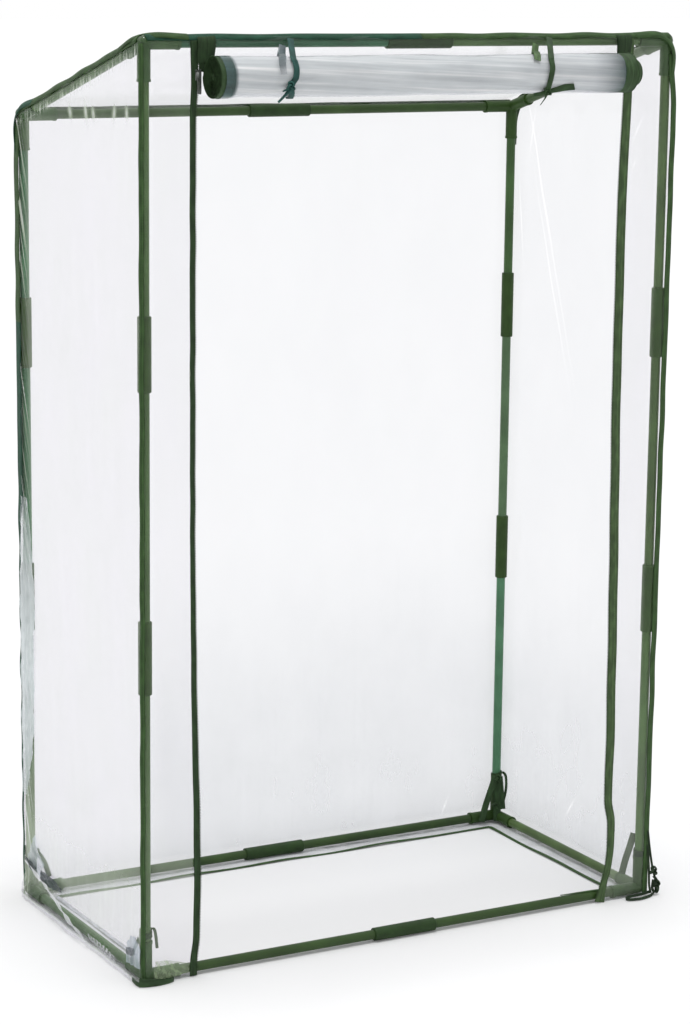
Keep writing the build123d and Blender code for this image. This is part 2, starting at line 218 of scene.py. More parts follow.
def ripples(s, t, seed, wavelength, heading=0.0, spread=0.25):
    """Uneven waves over a sheet, about one high, that run across the heading (radians from s)."""
    rng = np.random.default_rng(seed)
    total = 0
    for _ in range(RIPPLES):
        angle = heading + rng.uniform(-spread, spread)
        length = wavelength * rng.uniform(0.65, 1.5)
        phase = rng.uniform(0, 2 * pi)
        total = total + np.sin(2 * pi * (s * cos(angle) + t * sin(angle)) / length + phase)
    return total / RIPPLES**0.5


def easing(value, low, high):
    """A smooth step from 0 below low to 1 above high."""
    t = np.clip((value - low) / (high - low), 0, 1)
    return t * t * (3 - 2 * t)


# Material nodes
SPECULAR = "Specular IOR Level"


def node(tree, kind, inputs=None, out=0, **settings):
    """One output of a new shader node; its inputs are set to values or linked to other outputs."""
    made = tree.nodes.new(f"ShaderNode{kind}")
    for key, value in settings.items():
        setattr(made, key, value)
    for key, value in (inputs or {}).items():
        if isinstance(value, bpy.types.NodeSocket):
            tree.links.new(value, made.inputs[key])
        else:
            made.inputs[key].default_value = value
    return made.outputs[out]


def output(tree, surface, kind="Material"):
    """The end of a node tree."""
    tree.links.new(surface, tree.nodes.new(f"ShaderNodeOutput{kind}").inputs["Surface"])


def new_material(name):
    """An empty material; returns it and its node tree."""
    made = bpy.data.materials.new(name)
    made.use_nodes = True
    made.node_tree.nodes.clear()
    return made, made.node_tree


def noise(tree, source, scale, detail=3.0):
    """Noise from 0 to 1 over "Object" coordinates in metres, or over "UV", scaled on each axis."""
    placed = node(tree, "Mapping", {"Vector": node(tree, "TexCoord", out=source), "Scale": scale})
    return node(tree, "TexNoise", {"Vector": placed, "Scale": 1.0, "Detail": detail})


def ramp(tree, factor, stops):
    """A colour ramp; stops are (place, colour) pairs."""
    colours = node(tree, "ValToRGB", {"Fac": factor})
    elements = colours.node.color_ramp.elements
    while len(elements) < len(stops):
        elements.new(0.5)
    for element, (place, colour) in zip(elements, stops):
        element.position = place
        element.color = (*colour, 1)
    return colours


def remap(tree, value, low, high, to_low, to_high):
    """A value carried from one range to another."""
    inputs = {"Value": value, "From Min": low, "From Max": high, "To Min": to_low, "To Max": to_high}
    return node(tree, "MapRange", inputs)


def reckon(tree, operation, *values):
    """A sum, product or other operation on values."""
    return node(tree, "Math", dict(enumerate(values)), operation=operation)


def bump(tree, height, distance):
    """A normal from a height."""
    return node(tree, "Bump", {"Height": height, "Distance": distance})


def mixed(tree, factor, first, second):
    """A colour between an output and a fixed colour."""
    return node(tree, "Mix", {"Factor": factor, "A": first, "B": (*second, 1)}, "Result", data_type="RGBA")


def shaded(colour, share):
    """A colour made lighter or darker."""
    return tuple(min(1.0, channel * share) for channel in colour)


def skinned(made, tree, colours, roughness, normal, more):
    """Finish a material as one opaque skin; more holds the shader's other inputs."""
    skin = {"Base Color": colours, "Roughness": roughness, "Normal": normal, **more}
    output(tree, node(tree, "BsdfPrincipled", skin))
    return made


# Materials
def coated_tube(name, colour):
    """Plastic-coated steel tube: a semi-gloss skin with soft mottling and rubbed stretches."""
    made, tree = new_material(name)
    mottle = noise(tree, "Object", (14, 14, 14), 4)
    colours = ramp(tree, mottle, [(0.3, shaded(colour, 0.75)), (0.55, colour), (0.75, shaded(colour, 1.35))])
    grain = noise(tree, "Object", (900, 900, 900), 2)
    gloss = remap(tree, noise(tree, "Object", (60, 60, 60)), 0.3, 0.7, 0.3, 0.45)
    return skinned(made, tree, colours, gloss, bump(tree, grain, 0.00008), {SPECULAR: 0.3})


def moulded_plastic(name, colour):
    """Moulded plastic: a fine spark-eroded grain with a dull sheen."""
    made, tree = new_material(name)
    mottle = noise(tree, "Object", (40, 40, 40), 5)
    colours = ramp(tree, mottle, [(0.3, shaded(colour, 0.8)), (0.7, shaded(colour, 1.25))])
    grain = noise(tree, "Object", (1500, 1500, 1500), 2)
    gloss = remap(tree, grain, 0.3, 0.7, 0.42, 0.6)
    return skinned(made, tree, colours, gloss, bump(tree, grain, 0.00012), {SPECULAR: 0.25})


# White of the painted highlights on creases in film
CREASE_HIGHLIGHT_WHITE = (0.90, 0.92, 0.91)
BARE_TINT, NEUTRAL_TINT = (0.985, 0.985, 0.99), (0.95, 0.95, 0.955)


def clear_film(name, haze, milk, streak=0.02, shade=0.97, sheen=0.8, tint=NEUTRAL_TINT, deep=None, lines=55):
    """Clear film: what is behind shows through a little haze, with streaks and a sheen at a slant.

    Its "veil" is the share of its haze at a point; from 2.0 upwards its milk is painted white, as highlights
    on creases."""
    made, tree = new_material(name)
    streaks = noise(tree, "UV", (lines, 2.5, 1), 4)
    clouds = noise(tree, "UV", (9, 6, 1))
    fine = bump(tree, noise(tree, "UV", (160, 30, 1)), 0.0006)
    veil = node(tree, "Attribute", out="Fac", attribute_name="veil")
    cloudy = remap(tree, clouds, 0.3, 0.7, haze * 0.8, haze * 1.2)
    drawn = remap(tree, streaks, 0.52, 0.75, 0.0, streak)
    amount = reckon(tree, "MULTIPLY", reckon(tree, "ADD", cloudy, drawn), veil)
    amount = reckon(tree, "MINIMUM", amount, 0.98)
    slant = node(tree, "LayerWeight", {"Blend": 0.5}, "Facing")
    gloss = reckon(tree, "MULTIPLY_ADD", reckon(tree, "POWER", slant, 5.0), sheen, 0.014)
    half = reckon(tree, "MULTIPLY", veil, 0.5)
    passing = ramp(tree, half, [(0.0, BARE_TINT), (0.5, tint), (1.0, deep or tint)])
    clear = node(tree, "BsdfTransparent", {"Color": passing})
    # Along the streaks the milk is darker and lighter by the shade share; where that share is large, as on
    # the roll, this is painted shade and light of folds
    pale = ramp(tree, streaks, [(0.35, shaded(milk, shade)), (0.5, milk), (0.68, shaded(milk, 2 - shade))])
    # Above a veil of 2.0 the milk turns white: painted highlights on creases
    milk_with_highlights = mixed(tree, remap(tree, veil, 2.0, 2.8, 0.0, 1.0), pale, CREASE_HIGHLIGHT_WHITE)
    haze_skin = {"Base Color": milk_with_highlights, "Roughness": 0.35, "Normal": fine, SPECULAR: 0.2}
    within = node(tree, "MixShader", {0: amount, 1: clear, 2: node(tree, "BsdfPrincipled", haze_skin)})
    mirror = node(tree, "BsdfGlossy", {"Color": (0.97, 0.97, 1, 1), "Roughness": 0.06, "Normal": fine})
    output(tree, node(tree, "MixShader", {0: gloss, 1: within, 2: mirror}))
    return made


STITCH_PITCH, STITCH_HALF = 0.0042, 0.0005


def woven_tape(name, colour, stitch_lines=(), rib=0.0011):
    """Woven tape: ribs along and across, worn patches, and rows of raised stitches at places across it,
    painted lighter as their highlights.
    """
    made, tree = new_material(name)
    along = node(tree, "SeparateXYZ", {"Vector": node(tree, "TexCoord", out="UV")})
    across = along.node.outputs["Y"]
    warp = reckon(tree, "SINE", reckon(tree, "MULTIPLY", across, 2 * pi / rib))
    weft = reckon(tree, "SINE", reckon(tree, "MULTIPLY", along, 2 * pi / (rib * 1.3)))
    weave = reckon(tree, "MULTIPLY", warp, weft)
    worn = noise(tree, "UV", (45, 140, 1), 4)
    colours = ramp(tree, worn, [(0.28, shaded(colour, 0.62)), (0.5, colour), (0.72, shaded(colour, 1.5))])
    height = reckon(tree, "MULTIPLY_ADD", weave, 0.5, noise(tree, "UV", (300, 300, 1)))
    dash = reckon(tree, "SINE", reckon(tree, "MULTIPLY", along, 2 * pi / STITCH_PITCH))
    for line in stitch_lines:
        on_line = reckon(tree, "COMPARE", across, line, STITCH_HALF)
        thread = reckon(tree, "MULTIPLY", on_line, reckon(tree, "GREATER_THAN", dash, -0.2))
        # The stitches are painted much lighter than the tape: painted highlights on the raised threads
        colours = mixed(tree, thread, colours, shaded(colour, 2.4))
        height = reckon(tree, "MULTIPLY_ADD", thread, 1.5, height)
    return skinned(made, tree, colours, 0.55, bump(tree, height, 0.00025), {SPECULAR: 0.2})


def plated_metal(name, colour):
    """Plated zip metal, brushed along its length."""
    made, tree = new_material(name)
    brush = noise(tree, "Object", (3000, 3000, 200))
    colours = ramp(tree, brush, [(0.3, shaded(colour, 0.7)), (0.7, shaded(colour, 1.2))])
    gloss = remap(tree, brush, 0.3, 0.7, 0.22, 0.4)
    return skinned(made, tree, colours, gloss, bump(tree, brush, 0.00004), {"Metallic": 1.0})


TUBE_COLOURS = {
    "olive": (0.030, 0.066, 0.014), "light_olive": (0.072, 0.125, 0.036),
    "sheathed": (0.068, 0.138, 0.038), "covered": (0.064, 0.118, 0.034),
    "dull_green": (0.048, 0.112, 0.030), "fresh_green": (0.045, 0.150, 0.062),
    "grey_olive": (0.090, 0.165, 0.078), "green": (0.071, 0.193, 0.100), "teal": (0.028, 0.120, 0.056),
}
PLASTIC_COLOURS = {
    "connector_plastic": (0.017, 0.044, 0.009), "connector_plastic_post": (0.0265, 0.062, 0.011),
    "connector_plastic_covered": (0.030, 0.068, 0.018), "connector_plastic_sheathed": (0.034, 0.080, 0.022),
}
# Film by use: haze, milk, streak, shade, sheen, tint, deep tint, lines
FILM_SETTINGS = {
    # Wall film: its green milk is painted green light scattered from the tubes; its lilac tints balance it
    # where the film lies over white
    "wall": (0.22, (0.83, 0.95, 0.75), 0.02, 0.97, 0.25, (0.965, 0.930, 0.998), (0.92, 0.860, 1.0)),
    "roof": (0.22, (0.84, 0.87, 0.85), 0.02, 0.97, 0.2, (0.945, 0.945, 0.955)),
    # Back film: its tint darkens as its haze thickens near the ground, painted shade on the back wall
    "back": (0.22, (0.74, 0.77, 0.80), 0.02, 0.97, 0.25, (0.870, 0.875, 0.888)),
    "skirt": (0.18, (0.80, 0.83, 0.88)),
    # Roll film: its strong darker and lighter streaks are painted shade and light of the folds in the roll
    "roll": (0.45, (0.82, 0.86, 0.88), 0.22, 0.78, 0.8, NEUTRAL_TINT, None, 110),
    "roll_seam": (0.90, (0.05, 0.092, 0.088), 0.05, 0.6),
    # Strand film: a dark see-through strip, partly a painted shadow of the left tie
    "strand": (0.88, (0.15, 0.19, 0.20), 0.05, 0.8, 0.15),
    "foot": (0.80, (0.34, 0.44, 0.26), 0.2, 0.8),
    "fold": (0.45, (0.60, 0.68, 0.73), 0.12, 0.7),
    "fold_pale": (0.85, (0.70, 0.77, 0.78), 0.05, 0.94),
    "fold_blue": (0.75, (0.42, 0.50, 0.55), 0.1, 0.7),
    # Near-black fold film: its colour is painted shade and dark reflection in folds
    "fold_dark": (0.95, (0.025, 0.044, 0.050), 0.1, 0.7, 0.1),
    # White crease film: its white is a painted highlight where folds catch the light
    "crease": (0.70, (0.86, 0.88, 0.90), 0.2, 0.8),
}
EDGE_STITCHES, RIBBON_RIB = (-0.0022, 0.0022), 0.0009
# Tape by name: colour, places of the stitch lines across it, spacing of its ribs
TAPE_SETTINGS = {
    "binding_green": ((0.034, 0.074, 0.022), EDGE_STITCHES),
    "binding_teal": ((0.013, 0.060, 0.034), EDGE_STITCHES),
    # Pale hem: green tape painted pale grey, the painted light of hazy film folds over it
    "hem_pale": ((0.58, 0.59, 0.64), (), RIBBON_RIB),
    "zip_tape_weave": ((0.020, 0.044, 0.015), (0.003,)),
    "zip_tape_weave_green": ((0.056, 0.098, 0.037), (0.003,)),
    "roll_end_weave": ((0.034, 0.068, 0.026), (-0.36, 0.36)),
    "ribbon_teal": ((0.018, 0.068, 0.058), (), RIBBON_RIB),
    "ribbon_green": ((0.028, 0.060, 0.022), (), RIBBON_RIB),
    "ribbon_pale": ((0.085, 0.145, 0.060), (), RIBBON_RIB),
    "ribbon_dark": ((0.016, 0.032, 0.014), (), RIBBON_RIB),
}
tubes = {name: coated_tube(f"coated_tube_{name}", colour) for name, colour in TUBE_COLOURS.items()}
plastics = {name: moulded_plastic(name, colour) for name, colour in PLASTIC_COLOURS.items()}
films = {name: clear_film(f"clear_film_{name}", *settings) for name, settings in FILM_SETTINGS.items()}
tapes = {name: woven_tape(name, *settings) for name, settings in TAPE_SETTINGS.items()}
metal = plated_metal("zip_metal", (0.52, 0.53, 0.52))


def dress(piece, material, body, slot, *replaced):
    """Give a piece its material, its body and the CAD nodes that it stands for; slot is not used."""
    piece.data.materials.append(material)
    if body:
        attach(piece, body)
    if replaced:
        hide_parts(*replaced)
    return piece


# Frame parts and zip metal that keep their own solids
TUBE_ENDINGS = ("_lower", "_middle", "_upper", "_bar_left", "_bar_right", "_side_tube")
SHEATHED = ("front_left_", "front_right_post", "back_left_", "left_")
OWN_TUBE_COLOURS = {
    "back_right_post_upper": "dull_green", "back_right_post_middle": "grey_olive",
    "back_right_post_lower": "green", "back_left_post_middle": "fresh_green",
    "back_left_post_upper": "fresh_green", "front_right_post_middle": "covered",
    "front_right_post_upper": "covered", "front_top_bar_left": "teal", "front_top_bar_right": "sheathed",
    "left_bottom_side_tube": "dull_green", "right_bottom_side_tube": "light_olive",
}


def material_of(name):
    """The material of a CAD node that stays in sight, or None for a soft one."""
    sheathed = name.startswith(SHEATHED)
    if name.endswith(TUBE_ENDINGS):
        return tubes[OWN_TUBE_COLOURS.get(name, "sheathed" if sheathed else "olive")]
    if name.startswith("front_right") and name.endswith("connector"):
        return plastics["connector_plastic_covered"]
    if name.endswith("connector"):
        return plastics["connector_plastic_sheathed" if sheathed else "connector_plastic_post"]
    if name.endswith("couplers"):
        return plastics["connector_plastic_post" if name.startswith("post") else "connector_plastic"]
    return metal if name.endswith(("zip_slider", "zip_pull")) else None


for name, part in nodes.items():
    material = material_of(name)
    if material:
        part.data.materials.clear()
        part.data.materials.append(material)


# Film panels of the cover
ARC_STEPS, CROWDING = 6, 0.7


def crowded(count):
    """Shares from 0 to 1, closer together near both ends."""
    even = np.linspace(0, 1, count)
    return even - CROWDING * np.sin(2 * pi * even) / (2 * pi)


def turns(count, before, after):
    """Places along a panel from tube axis to tube axis, and its turn round the tube at each end."""
    arc = np.linspace(1, 0, ARC_STEPS + 1)[:-1]
    start = arc if before is not None else np.zeros(0)
    end = arc[::-1] if after is not None else np.zeros(0)
    still = np.zeros(count)
    places = np.concatenate([0 * start, crowded(count), 0 * end + 1])
    return places, np.concatenate([start, still, 0 * end]), np.concatenate([0 * start, still, end])


def wrapped(corners, normal, beyond, counts):
    """Film stretched over the tubes at a panel's edges and turned round them as far as its seams.

    corners are points of the tube axes (low start, low end, high end, high start); beyond gives the
    neighbouring faces (start, end, low, high), None where the film ends. Returns the film's points, its
    outward directions, the distances along it from the low start, and how flat it lies (0 at a tube)."""
    a, b, c, d = (np.asarray(corner, float) for corner in corners)
    u, *u_turns = turns(counts[0], *beyond[:2])
    v, *v_turns = turns(counts[1], *beyond[2:])
    u_start, u_end = (turn[None, :] for turn in u_turns)
    v_low, v_high = (turn[:, None] for turn in v_turns)
    uu, vv = np.meshgrid(u, v)
    axis = ((1 - uu) * (1 - vv))[..., None] * a + (uu * (1 - vv))[..., None] * b
    axis = axis + (uu * vv)[..., None] * c + ((1 - uu) * vv)[..., None] * d
    outward = np.broadcast_to(normal, axis.shape)
    for share, face in zip((u_start, u_end, v_low, v_high), beyond):
        if face is not None:
            outward = outward + share[..., None] * face
    outward = unit(outward)
    quarter = WRAP * pi / 4
    s = uu * np.linalg.norm(b - a) + quarter * (u_end - u_start)
    t = vv * np.linalg.norm(d - a) + quarter * (v_high - v_low)
    flat = (1 - np.maximum(u_start, u_end)) * (1 - np.maximum(v_low, v_high))
    return axis + WRAP * outward, outward, s, t, flat


def near(distance, reach):
    """One at a line, fading to nought a few reaches away from it."""
    return np.exp(-((distance / reach) ** 2))


def inside(s, width, reach):
    """Nought at both sides of a panel, one further in."""
    return easing(np.minimum(s, width - s), 0.006, reach)


def tight(distance, reach, share):
    """How much clearer the film is where it is drawn over a tube."""
    return share * np.exp(-((distance / reach) ** 4))


def highlight_flecks(s, z, places, reach=0.002):
    """Short marks of painted highlight along creases, each given as (place along, height, length, lean)."""
    marks = 0 * s
    for place, height, length, lean in places:
        along = (z - height) * cos(lean) + (s - place) * sin(lean)
        across = (s - place) * cos(lean) - (z - height) * sin(lean)
        marks = marks + near(along, length / 2) * near(across, reach)
    return np.clip(marks, 0, 1)


# Places of painted crease highlights on each film: the left film's whiten its milk, the others' clear its
# haze
LEFT_HIGHLIGHTS = [
    (0.190, 1.374, 0.030, 0.25), (0.163, 1.373, 0.022, 0.30), (0.084, 1.378, 0.024, -0.2),
    (0.036, 1.380, 0.022, 0.1), (0.253, 1.372, 0.024, 0.35),
]
RIGHT_HIGHLIGHTS = [
    (0.092, 1.3345, 0.040, -0.588), (0.098, 1.275, 0.020, -0.60), (0.422, 1.310, 0.060, -0.21),
    (0.238, 0.090, 0.040, -0.6), (0.366, 1.160, 0.41, 0.331), (0.350, 1.060, 0.26, 0.331),
    (0.388, 1.220, 0.20, 0.31), (0.4525, 1.150, 0.10, 0.14),
]
BACK_HIGHLIGHTS = [(0.849, 0.040, 0.026, 0.4)]
STRIP_HIGHLIGHTS = [(0.083, 1.345, 0.032, -0.3), (0.085, 1.285, 0.022, -0.4)]
# Heights at which the left film and strip lie clear before the back top bar, and the fall along the film
LEFT_CLEAR, LEFT_CLEAR_FALL, STRIP_CLEAR, CLEAR_REACH = 1.3815, 0.0405, 1.3845, 0.012


# Each panel's drape takes places along it and up it, and gives its lift, its haze and its painted crease
# highlights
def left_film(s, z, width, top):
    """Upright waves, slanting folds beside the back post, gathers under the roof tube and a loose foot."""
    below, behind = top - z, width - s
    slanted = behind + 0.35 * z
    waves = 0.0012 * ripples(s, z, 11, 0.10, heading=0.05) * inside(s, width, 0.06)
    folds = 0.0018 * near(behind - 0.015, 0.025) * ripples(slanted, z, 12, 0.015, spread=0.02)
    pleats = 0.0018 * near(below - 0.016, 0.014) * ripples(s, below, 14, 0.0075, spread=0.12)
    foot = 0.010 * near(z - 0.012, 0.022) * (0.75 + 0.25 * ripples(s, z, 15, 0.16))
    crinkle = 0.0012 * near(z - 0.03, 0.03) * ripples(s, z, 16, 0.014, heading=0.7, spread=0.5)
    haze = (0.85 + 0.75 * (1 - easing(z, 0.10, 0.22))) * (1 - tight(below - WRAP, 0.013, 0.9))
    haze = haze * (1 - tight(behind - 0.018, 0.024, 0.4 + 0.5 * easing(z, 0.15, 0.6)))
    haze = haze * (1 - 0.92 * near(z - 0.020, 0.022))
    haze = haze * (1 - 0.75 * near(z + LEFT_CLEAR_FALL * s - LEFT_CLEAR, CLEAR_REACH))
    # Painted highlights: the milk is whitened on the gathers under the roof tube, the folds beside the back
    # post, the foot and a few creases
    gathers = ripples(s, below, 17, 0.009, spread=0.1)
    crease_highlights = 2.6 * near(below - 0.021, 0.007) * easing(gathers, 0.0, 1.1)
    crease_highlights = crease_highlights + 0.8 * near(below - 0.012, 0.005) * easing(gathers, 0.6, 1.3)
    streaks = easing(ripples(slanted, z, 18, 0.015, spread=0.015), 0.3, 1.3)
    crease_highlights = crease_highlights + 2.6 * near(behind - 0.018, 0.018) * streaks
    crease_highlights = crease_highlights + 1.2 * near(behind - 0.015, 0.02) * (1 - easing(z, 0.15, 0.5))
    crease_highlights = crease_highlights + 2.4 * (1 - easing(z, 0.005, 0.013)) + 2.6 * highlight_flecks(s, z, LEFT_HIGHLIGHTS, 0.006)
    return np.maximum(waves + folds + pleats + crinkle, -0.0003) + foot, haze, crease_highlights


def right_film(s, z, width, top):
    """Upright waves, with crumples near the ground, hazier and darker towards it, and a few streaks cleared
    of haze as painted highlights.
    """
    waves = 0.0013 * ripples(s, z, 21, 0.12, heading=0.1)
    low = 0.0005 * ripples(s, z, 22, 0.060, heading=0.6, spread=0.4) * np.exp(-z / 0.2)
    haze = 0.52 + 0.8 * (1 - easing(z, 0.08, 0.55))
    return (waves + low) * inside(s, width, 0.05), haze * (1 - highlight_flecks(s, z, RIGHT_HIGHLIGHTS)), 0 * s


def back_film(s, z, width, top):
    """Slow upright waves, and crumples near the ground; hazier and darker towards it as painted shade, least
    so at the left.
    """
    waves = 0.0014 * ripples(s, z, 31, 0.16, heading=0.05)
    low = 0.0004 * ripples(s, z, 32, 0.07, heading=0.4, spread=0.4) * np.exp(-z / 0.15)
    # Painted shade: the haze, and with it the film's darker tint, thickens towards the ground
    painted_shade = (1 - easing(z, 0.12, 0.62)) * (0.15 + 0.85 * easing(s, 0.20, 0.28))
    haze = (0.44 + 0.7 * painted_shade) * (1 - highlight_flecks(s, z, BACK_HIGHLIGHTS))
    return (waves + low) * inside(s, width, 0.05), haze, 0 * s


def strip_film(s, z, width, top):
    """Slack upright waves beside the doorway, drawn tight over the top bar and at the zip."""
    loose = easing(s, 0.02, 0.04) * easing(width - s, 0.012, 0.03)
    haze = 0.7 * (1 - tight(top - z - 0.010, 0.014, 0.8))
    waves = 0.0006 * ripples(s, z, 41, 0.05, heading=0.12) * loose
    # The flecks clear the haze in short streaks: painted highlights
    return waves, haze * (1 - highlight_flecks(s, z, STRIP_HIGHLIGHTS)), 0 * s


def left_strip_film(s, z, width, top):
    """The left strip, rubbed clear before the back top bar."""
    waves, haze, crease_highlights = strip_film(s, z, width, top)
    return waves, haze * (1 - 0.8 * near(z - STRIP_CLEAR, CLEAR_REACH)), crease_highlights


def roof_film(s, t, width, top):
    """Slow waves between the tubes."""
    slack = inside(s, width, 0.1) * inside(t, DEPTH, 0.1)
    waves = (0.002 * ripples(s, t, 51, 0.2, heading=0.4, spread=1.2) - 0.001) * slack
    return waves, 1 - tight(np.minimum(s, width - s), 0.013, 0.8), 0 * s


def panel(name, corners, normal, beyond, counts, film, drape, posts):
    """One panel of the cover; posts are the places of posts along it."""
    points, outward, s, t, level = wrapped(corners, normal, beyond, counts)
    width = np.linalg.norm(np.subtract(corners[1], corners[0]))
    height = points[..., 2]
    lift, haze, crease_highlights = drape(s, t if normal is ROOFWARD else height, width, points[-1:, :, 2])
    for place in posts:
        haze = haze * (1 - tight(s - place, 0.014, 0.60 + 0.35 * easing(height, 0.15, 0.55)))
    haze = haze * (1 - tight(height - BASE_Z, 0.013, 0.5))
    points = points + outward * (lift * level)[..., None]
    # The veil is the haze plus the painted crease highlights
    made = grid(f"{name}_film", points, np.stack([s, t], axis=-1), haze + crease_highlights)
    dress(made, films[film], COVER, "clear_film", name)


for name, side, face, counts, film, drape, posts in (
    ("left_panel", -1, LEFTWARD, (240, 220), "wall", left_film, (DEPTH,)),
    ("right_panel", 1, RIGHTWARD, (280, 280), "back", right_film, ()),
):
    panel(
        name, [FEET[side, -1], FEET[side, 1], TOPS[side, 1], TOPS[side, -1]],
        face, (FORWARD, BACKWARD, None, ROOFWARD), counts, film, drape, posts,
    )
panel(
    "back_panel", [FEET[-1, 1], FEET[1, 1], TOPS[1, 1], TOPS[-1, 1]],
    BACKWARD, (LEFTWARD, RIGHTWARD, None, ROOFWARD), (240, 220), "back", back_film, (),
)
for name, side, face, drape, post in (
    ("left", -1, LEFTWARD, left_strip_film, -0.006), ("right", 1, RIGHTWARD, strip_film, 0.006),
):
    edge = side * FILM_EDGE
    panel(
        f"front_{name}_panel",
        [FEET[side, -1], (edge, FRONT_Y, GROUND), (edge, FRONT_Y, FRONT_TOP), TOPS[side, -1]],
        FORWARD, (face, None, None, ROOFWARD), (40, 300), "wall", drape, (post,),
    )
panel(
    "roof_panel", [TOPS[-1, -1], TOPS[1, -1], TOPS[1, 1], TOPS[-1, 1]],
    ROOFWARD, (LEFTWARD, RIGHTWARD, FORWARD, BACKWARD), (160, 90), "roof", roof_film, (),
)


def skirt():
    """Five strips that lie on the ground, with low crumples between their edges."""
    outer, front, back = POST_X + WRAP, FRONT_Y - WRAP, BACK_Y + WRAP
    strips = [
        ((-outer, HEM_BACK), (outer, back), 180, 16),
        ((-outer, front), (-HEM_X, HEM_BACK), 16, 100),
        ((HEM_X, front), (outer, HEM_BACK), 16, 100),
        ((-HEM_X, front), (-ZIP_LINE, HEM_FRONT), 24, 16),
        ((ZIP_LINE, front), (HEM_X, HEM_FRONT), 24, 16),
    ]
    pieces, area = [], 0
    for low, high, columns, rows in strips:
        u, v = np.meshgrid(np.linspace(0, 1, columns), np.linspace(0, 1, rows))
        x = low[0] + (high[0] - low[0]) * u
        y = low[1] + (high[1] - low[1]) * v
        rise = np.abs(ripples(x, y, 61, 0.06, heading=0.5, spread=1.5)) * np.sin(pi * u) * np.sin(pi * v)
        points = np.stack([x, y, GROUND + 0.0014 * rise], axis=-1).reshape(-1, 3)
        pieces.append((points, grid_faces(rows, columns), points[:, :2]))
        area += (high[0] - low[0]) * (high[1] - low[1])
    made = joined("ground_skirt_film", pieces, veil=1.0)
    dress(made, films["skirt"], COVER, "clear_film", "ground_skirt")


skirt()


# Bound seams
SEAM_THICKNESS, SEAM_STEP = 0.0018, 0.006
SEAM_REACH = WRAP + 0.0012


def swaying(start, end, seed, count, sway=0.0006, wavelength=0.12):
    """A seam's line between two points, swaying a little on all sides."""
    start, end = np.asarray(start, float), np.asarray(end, float)
    t = np.linspace(0, 1, count)
    line = start + (end - start) * t[:, None]
    length = np.linalg.norm(end - start) * t
    for axis in range(3):
        line[:, axis] += sway * ripples(length, 0 * length, seed + axis, wavelength) * np.sin(pi * t) ** 0.3
    return line


def seam_tape(start, end, faces, seed, width=0.008):
    """A folded tape that lies over the seam between two faces, bent to the tube below it."""
    out = unit(faces[0] + faces[1])
    run = np.subtract(end, start)
    count = int(np.linalg.norm(run) / SEAM_STEP)
    line = swaying(np.add(start, out * SEAM_REACH), np.add(end, out * SEAM_REACH), seed, count)
    return sweep(line, np.cross(unit(run), out), tape_profile(width, SEAM_THICKNESS, SEAM_REACH))


def edge_tape(start, end, shift, across, width, seed, tuck=0.0, narrow=1.0):
    """A folded tape sewn flat along a panel's upright edge and standing beyond it, tucked in at its top.

    Below 0.7 m its width falls to a share of the full one, from the side that across points to."""
    count = int(np.linalg.norm(np.subtract(end, start)) / SEAM_STEP)
    line = swaying(np.add(start, shift), np.add(end, shift), seed, count)
    line -= tuck * easing(line[:, 2:], FRONT_TOP - 0.11, FRONT_TOP - 0.03) * across
    widths = narrow + (1 - narrow) * easing(line[:, 2], 0.62, 0.72)
    line -= width / 2 * (1 - widths[:, None]) * across
    return sweep(line, across, tape_profile(width, SEAM_THICKNESS), widths)


def corner_cap(hub, first, second, width=0.016):
    """A tape that turns the corner at a hub; its two ends are given as (run along a tube, outward)."""
    (run_a, out_a), (run_b, out_b) = first, second
    early, late = unit(2 * out_a + out_b), unit(out_a + 2 * out_b)
    runs = [0.07 * run_a, 0.022 * run_a, 0.022 * run_b, 0.07 * run_b]
    outs, swells = [out_a, early, late, out_b], [0.0, 0.0025, 0.0025, 0.0]
    reaches = [(SEAM_REACH + 0.0005 + swell) * out for out, swell in zip(outs, swells)]
    path = smooth([np.asarray(hub) + run + reach for run, reach in zip(runs, reaches)], 40)
    across = np.cross(np.gradient(path, axis=0), smooth(outs, 40))
    return sweep(path, across, tape_profile(width, SEAM_THICKNESS, SEAM_REACH))


SEAM_FEET = {corner: (x, y, GROUND + 0.001) for corner, (x, y, z) in TOPS.items()}
SPLIT_Z = 1.01
back_left_split, back_left_top = (-POST_X, BACK_Y, SPLIT_Z), (-POST_X, BACK_Y, BACK_TOP - 0.012)
back_left_foot = np.subtract(SEAM_FEET[-1, 1], (0, 0.007, 0))
front_right_foot = np.subtract(SEAM_FEET[1, -1], (0.005, 0, 0))
front_right_top = (POST_X, FRONT_Y, FRONT_TOP - 0.022)
flat_out = WRAP + 0.001
back_left_shift, front_right_shift = (-flat_out, 0.0006, 0), (0.0105, -flat_out, 0)
roof_down = unit(np.subtract(TOPS[1, 1], TOPS[1, -1]))
left_roof_out, right_roof_out = unit(LEFTWARD + ROOFWARD), unit(RIGHTWARD + ROOFWARD)
header_out = unit(FORWARD + ROOFWARD)
front_middle = (0, FRONT_Y, FRONT_TOP)
BACK_LEFT_WIDTH = 0.0190
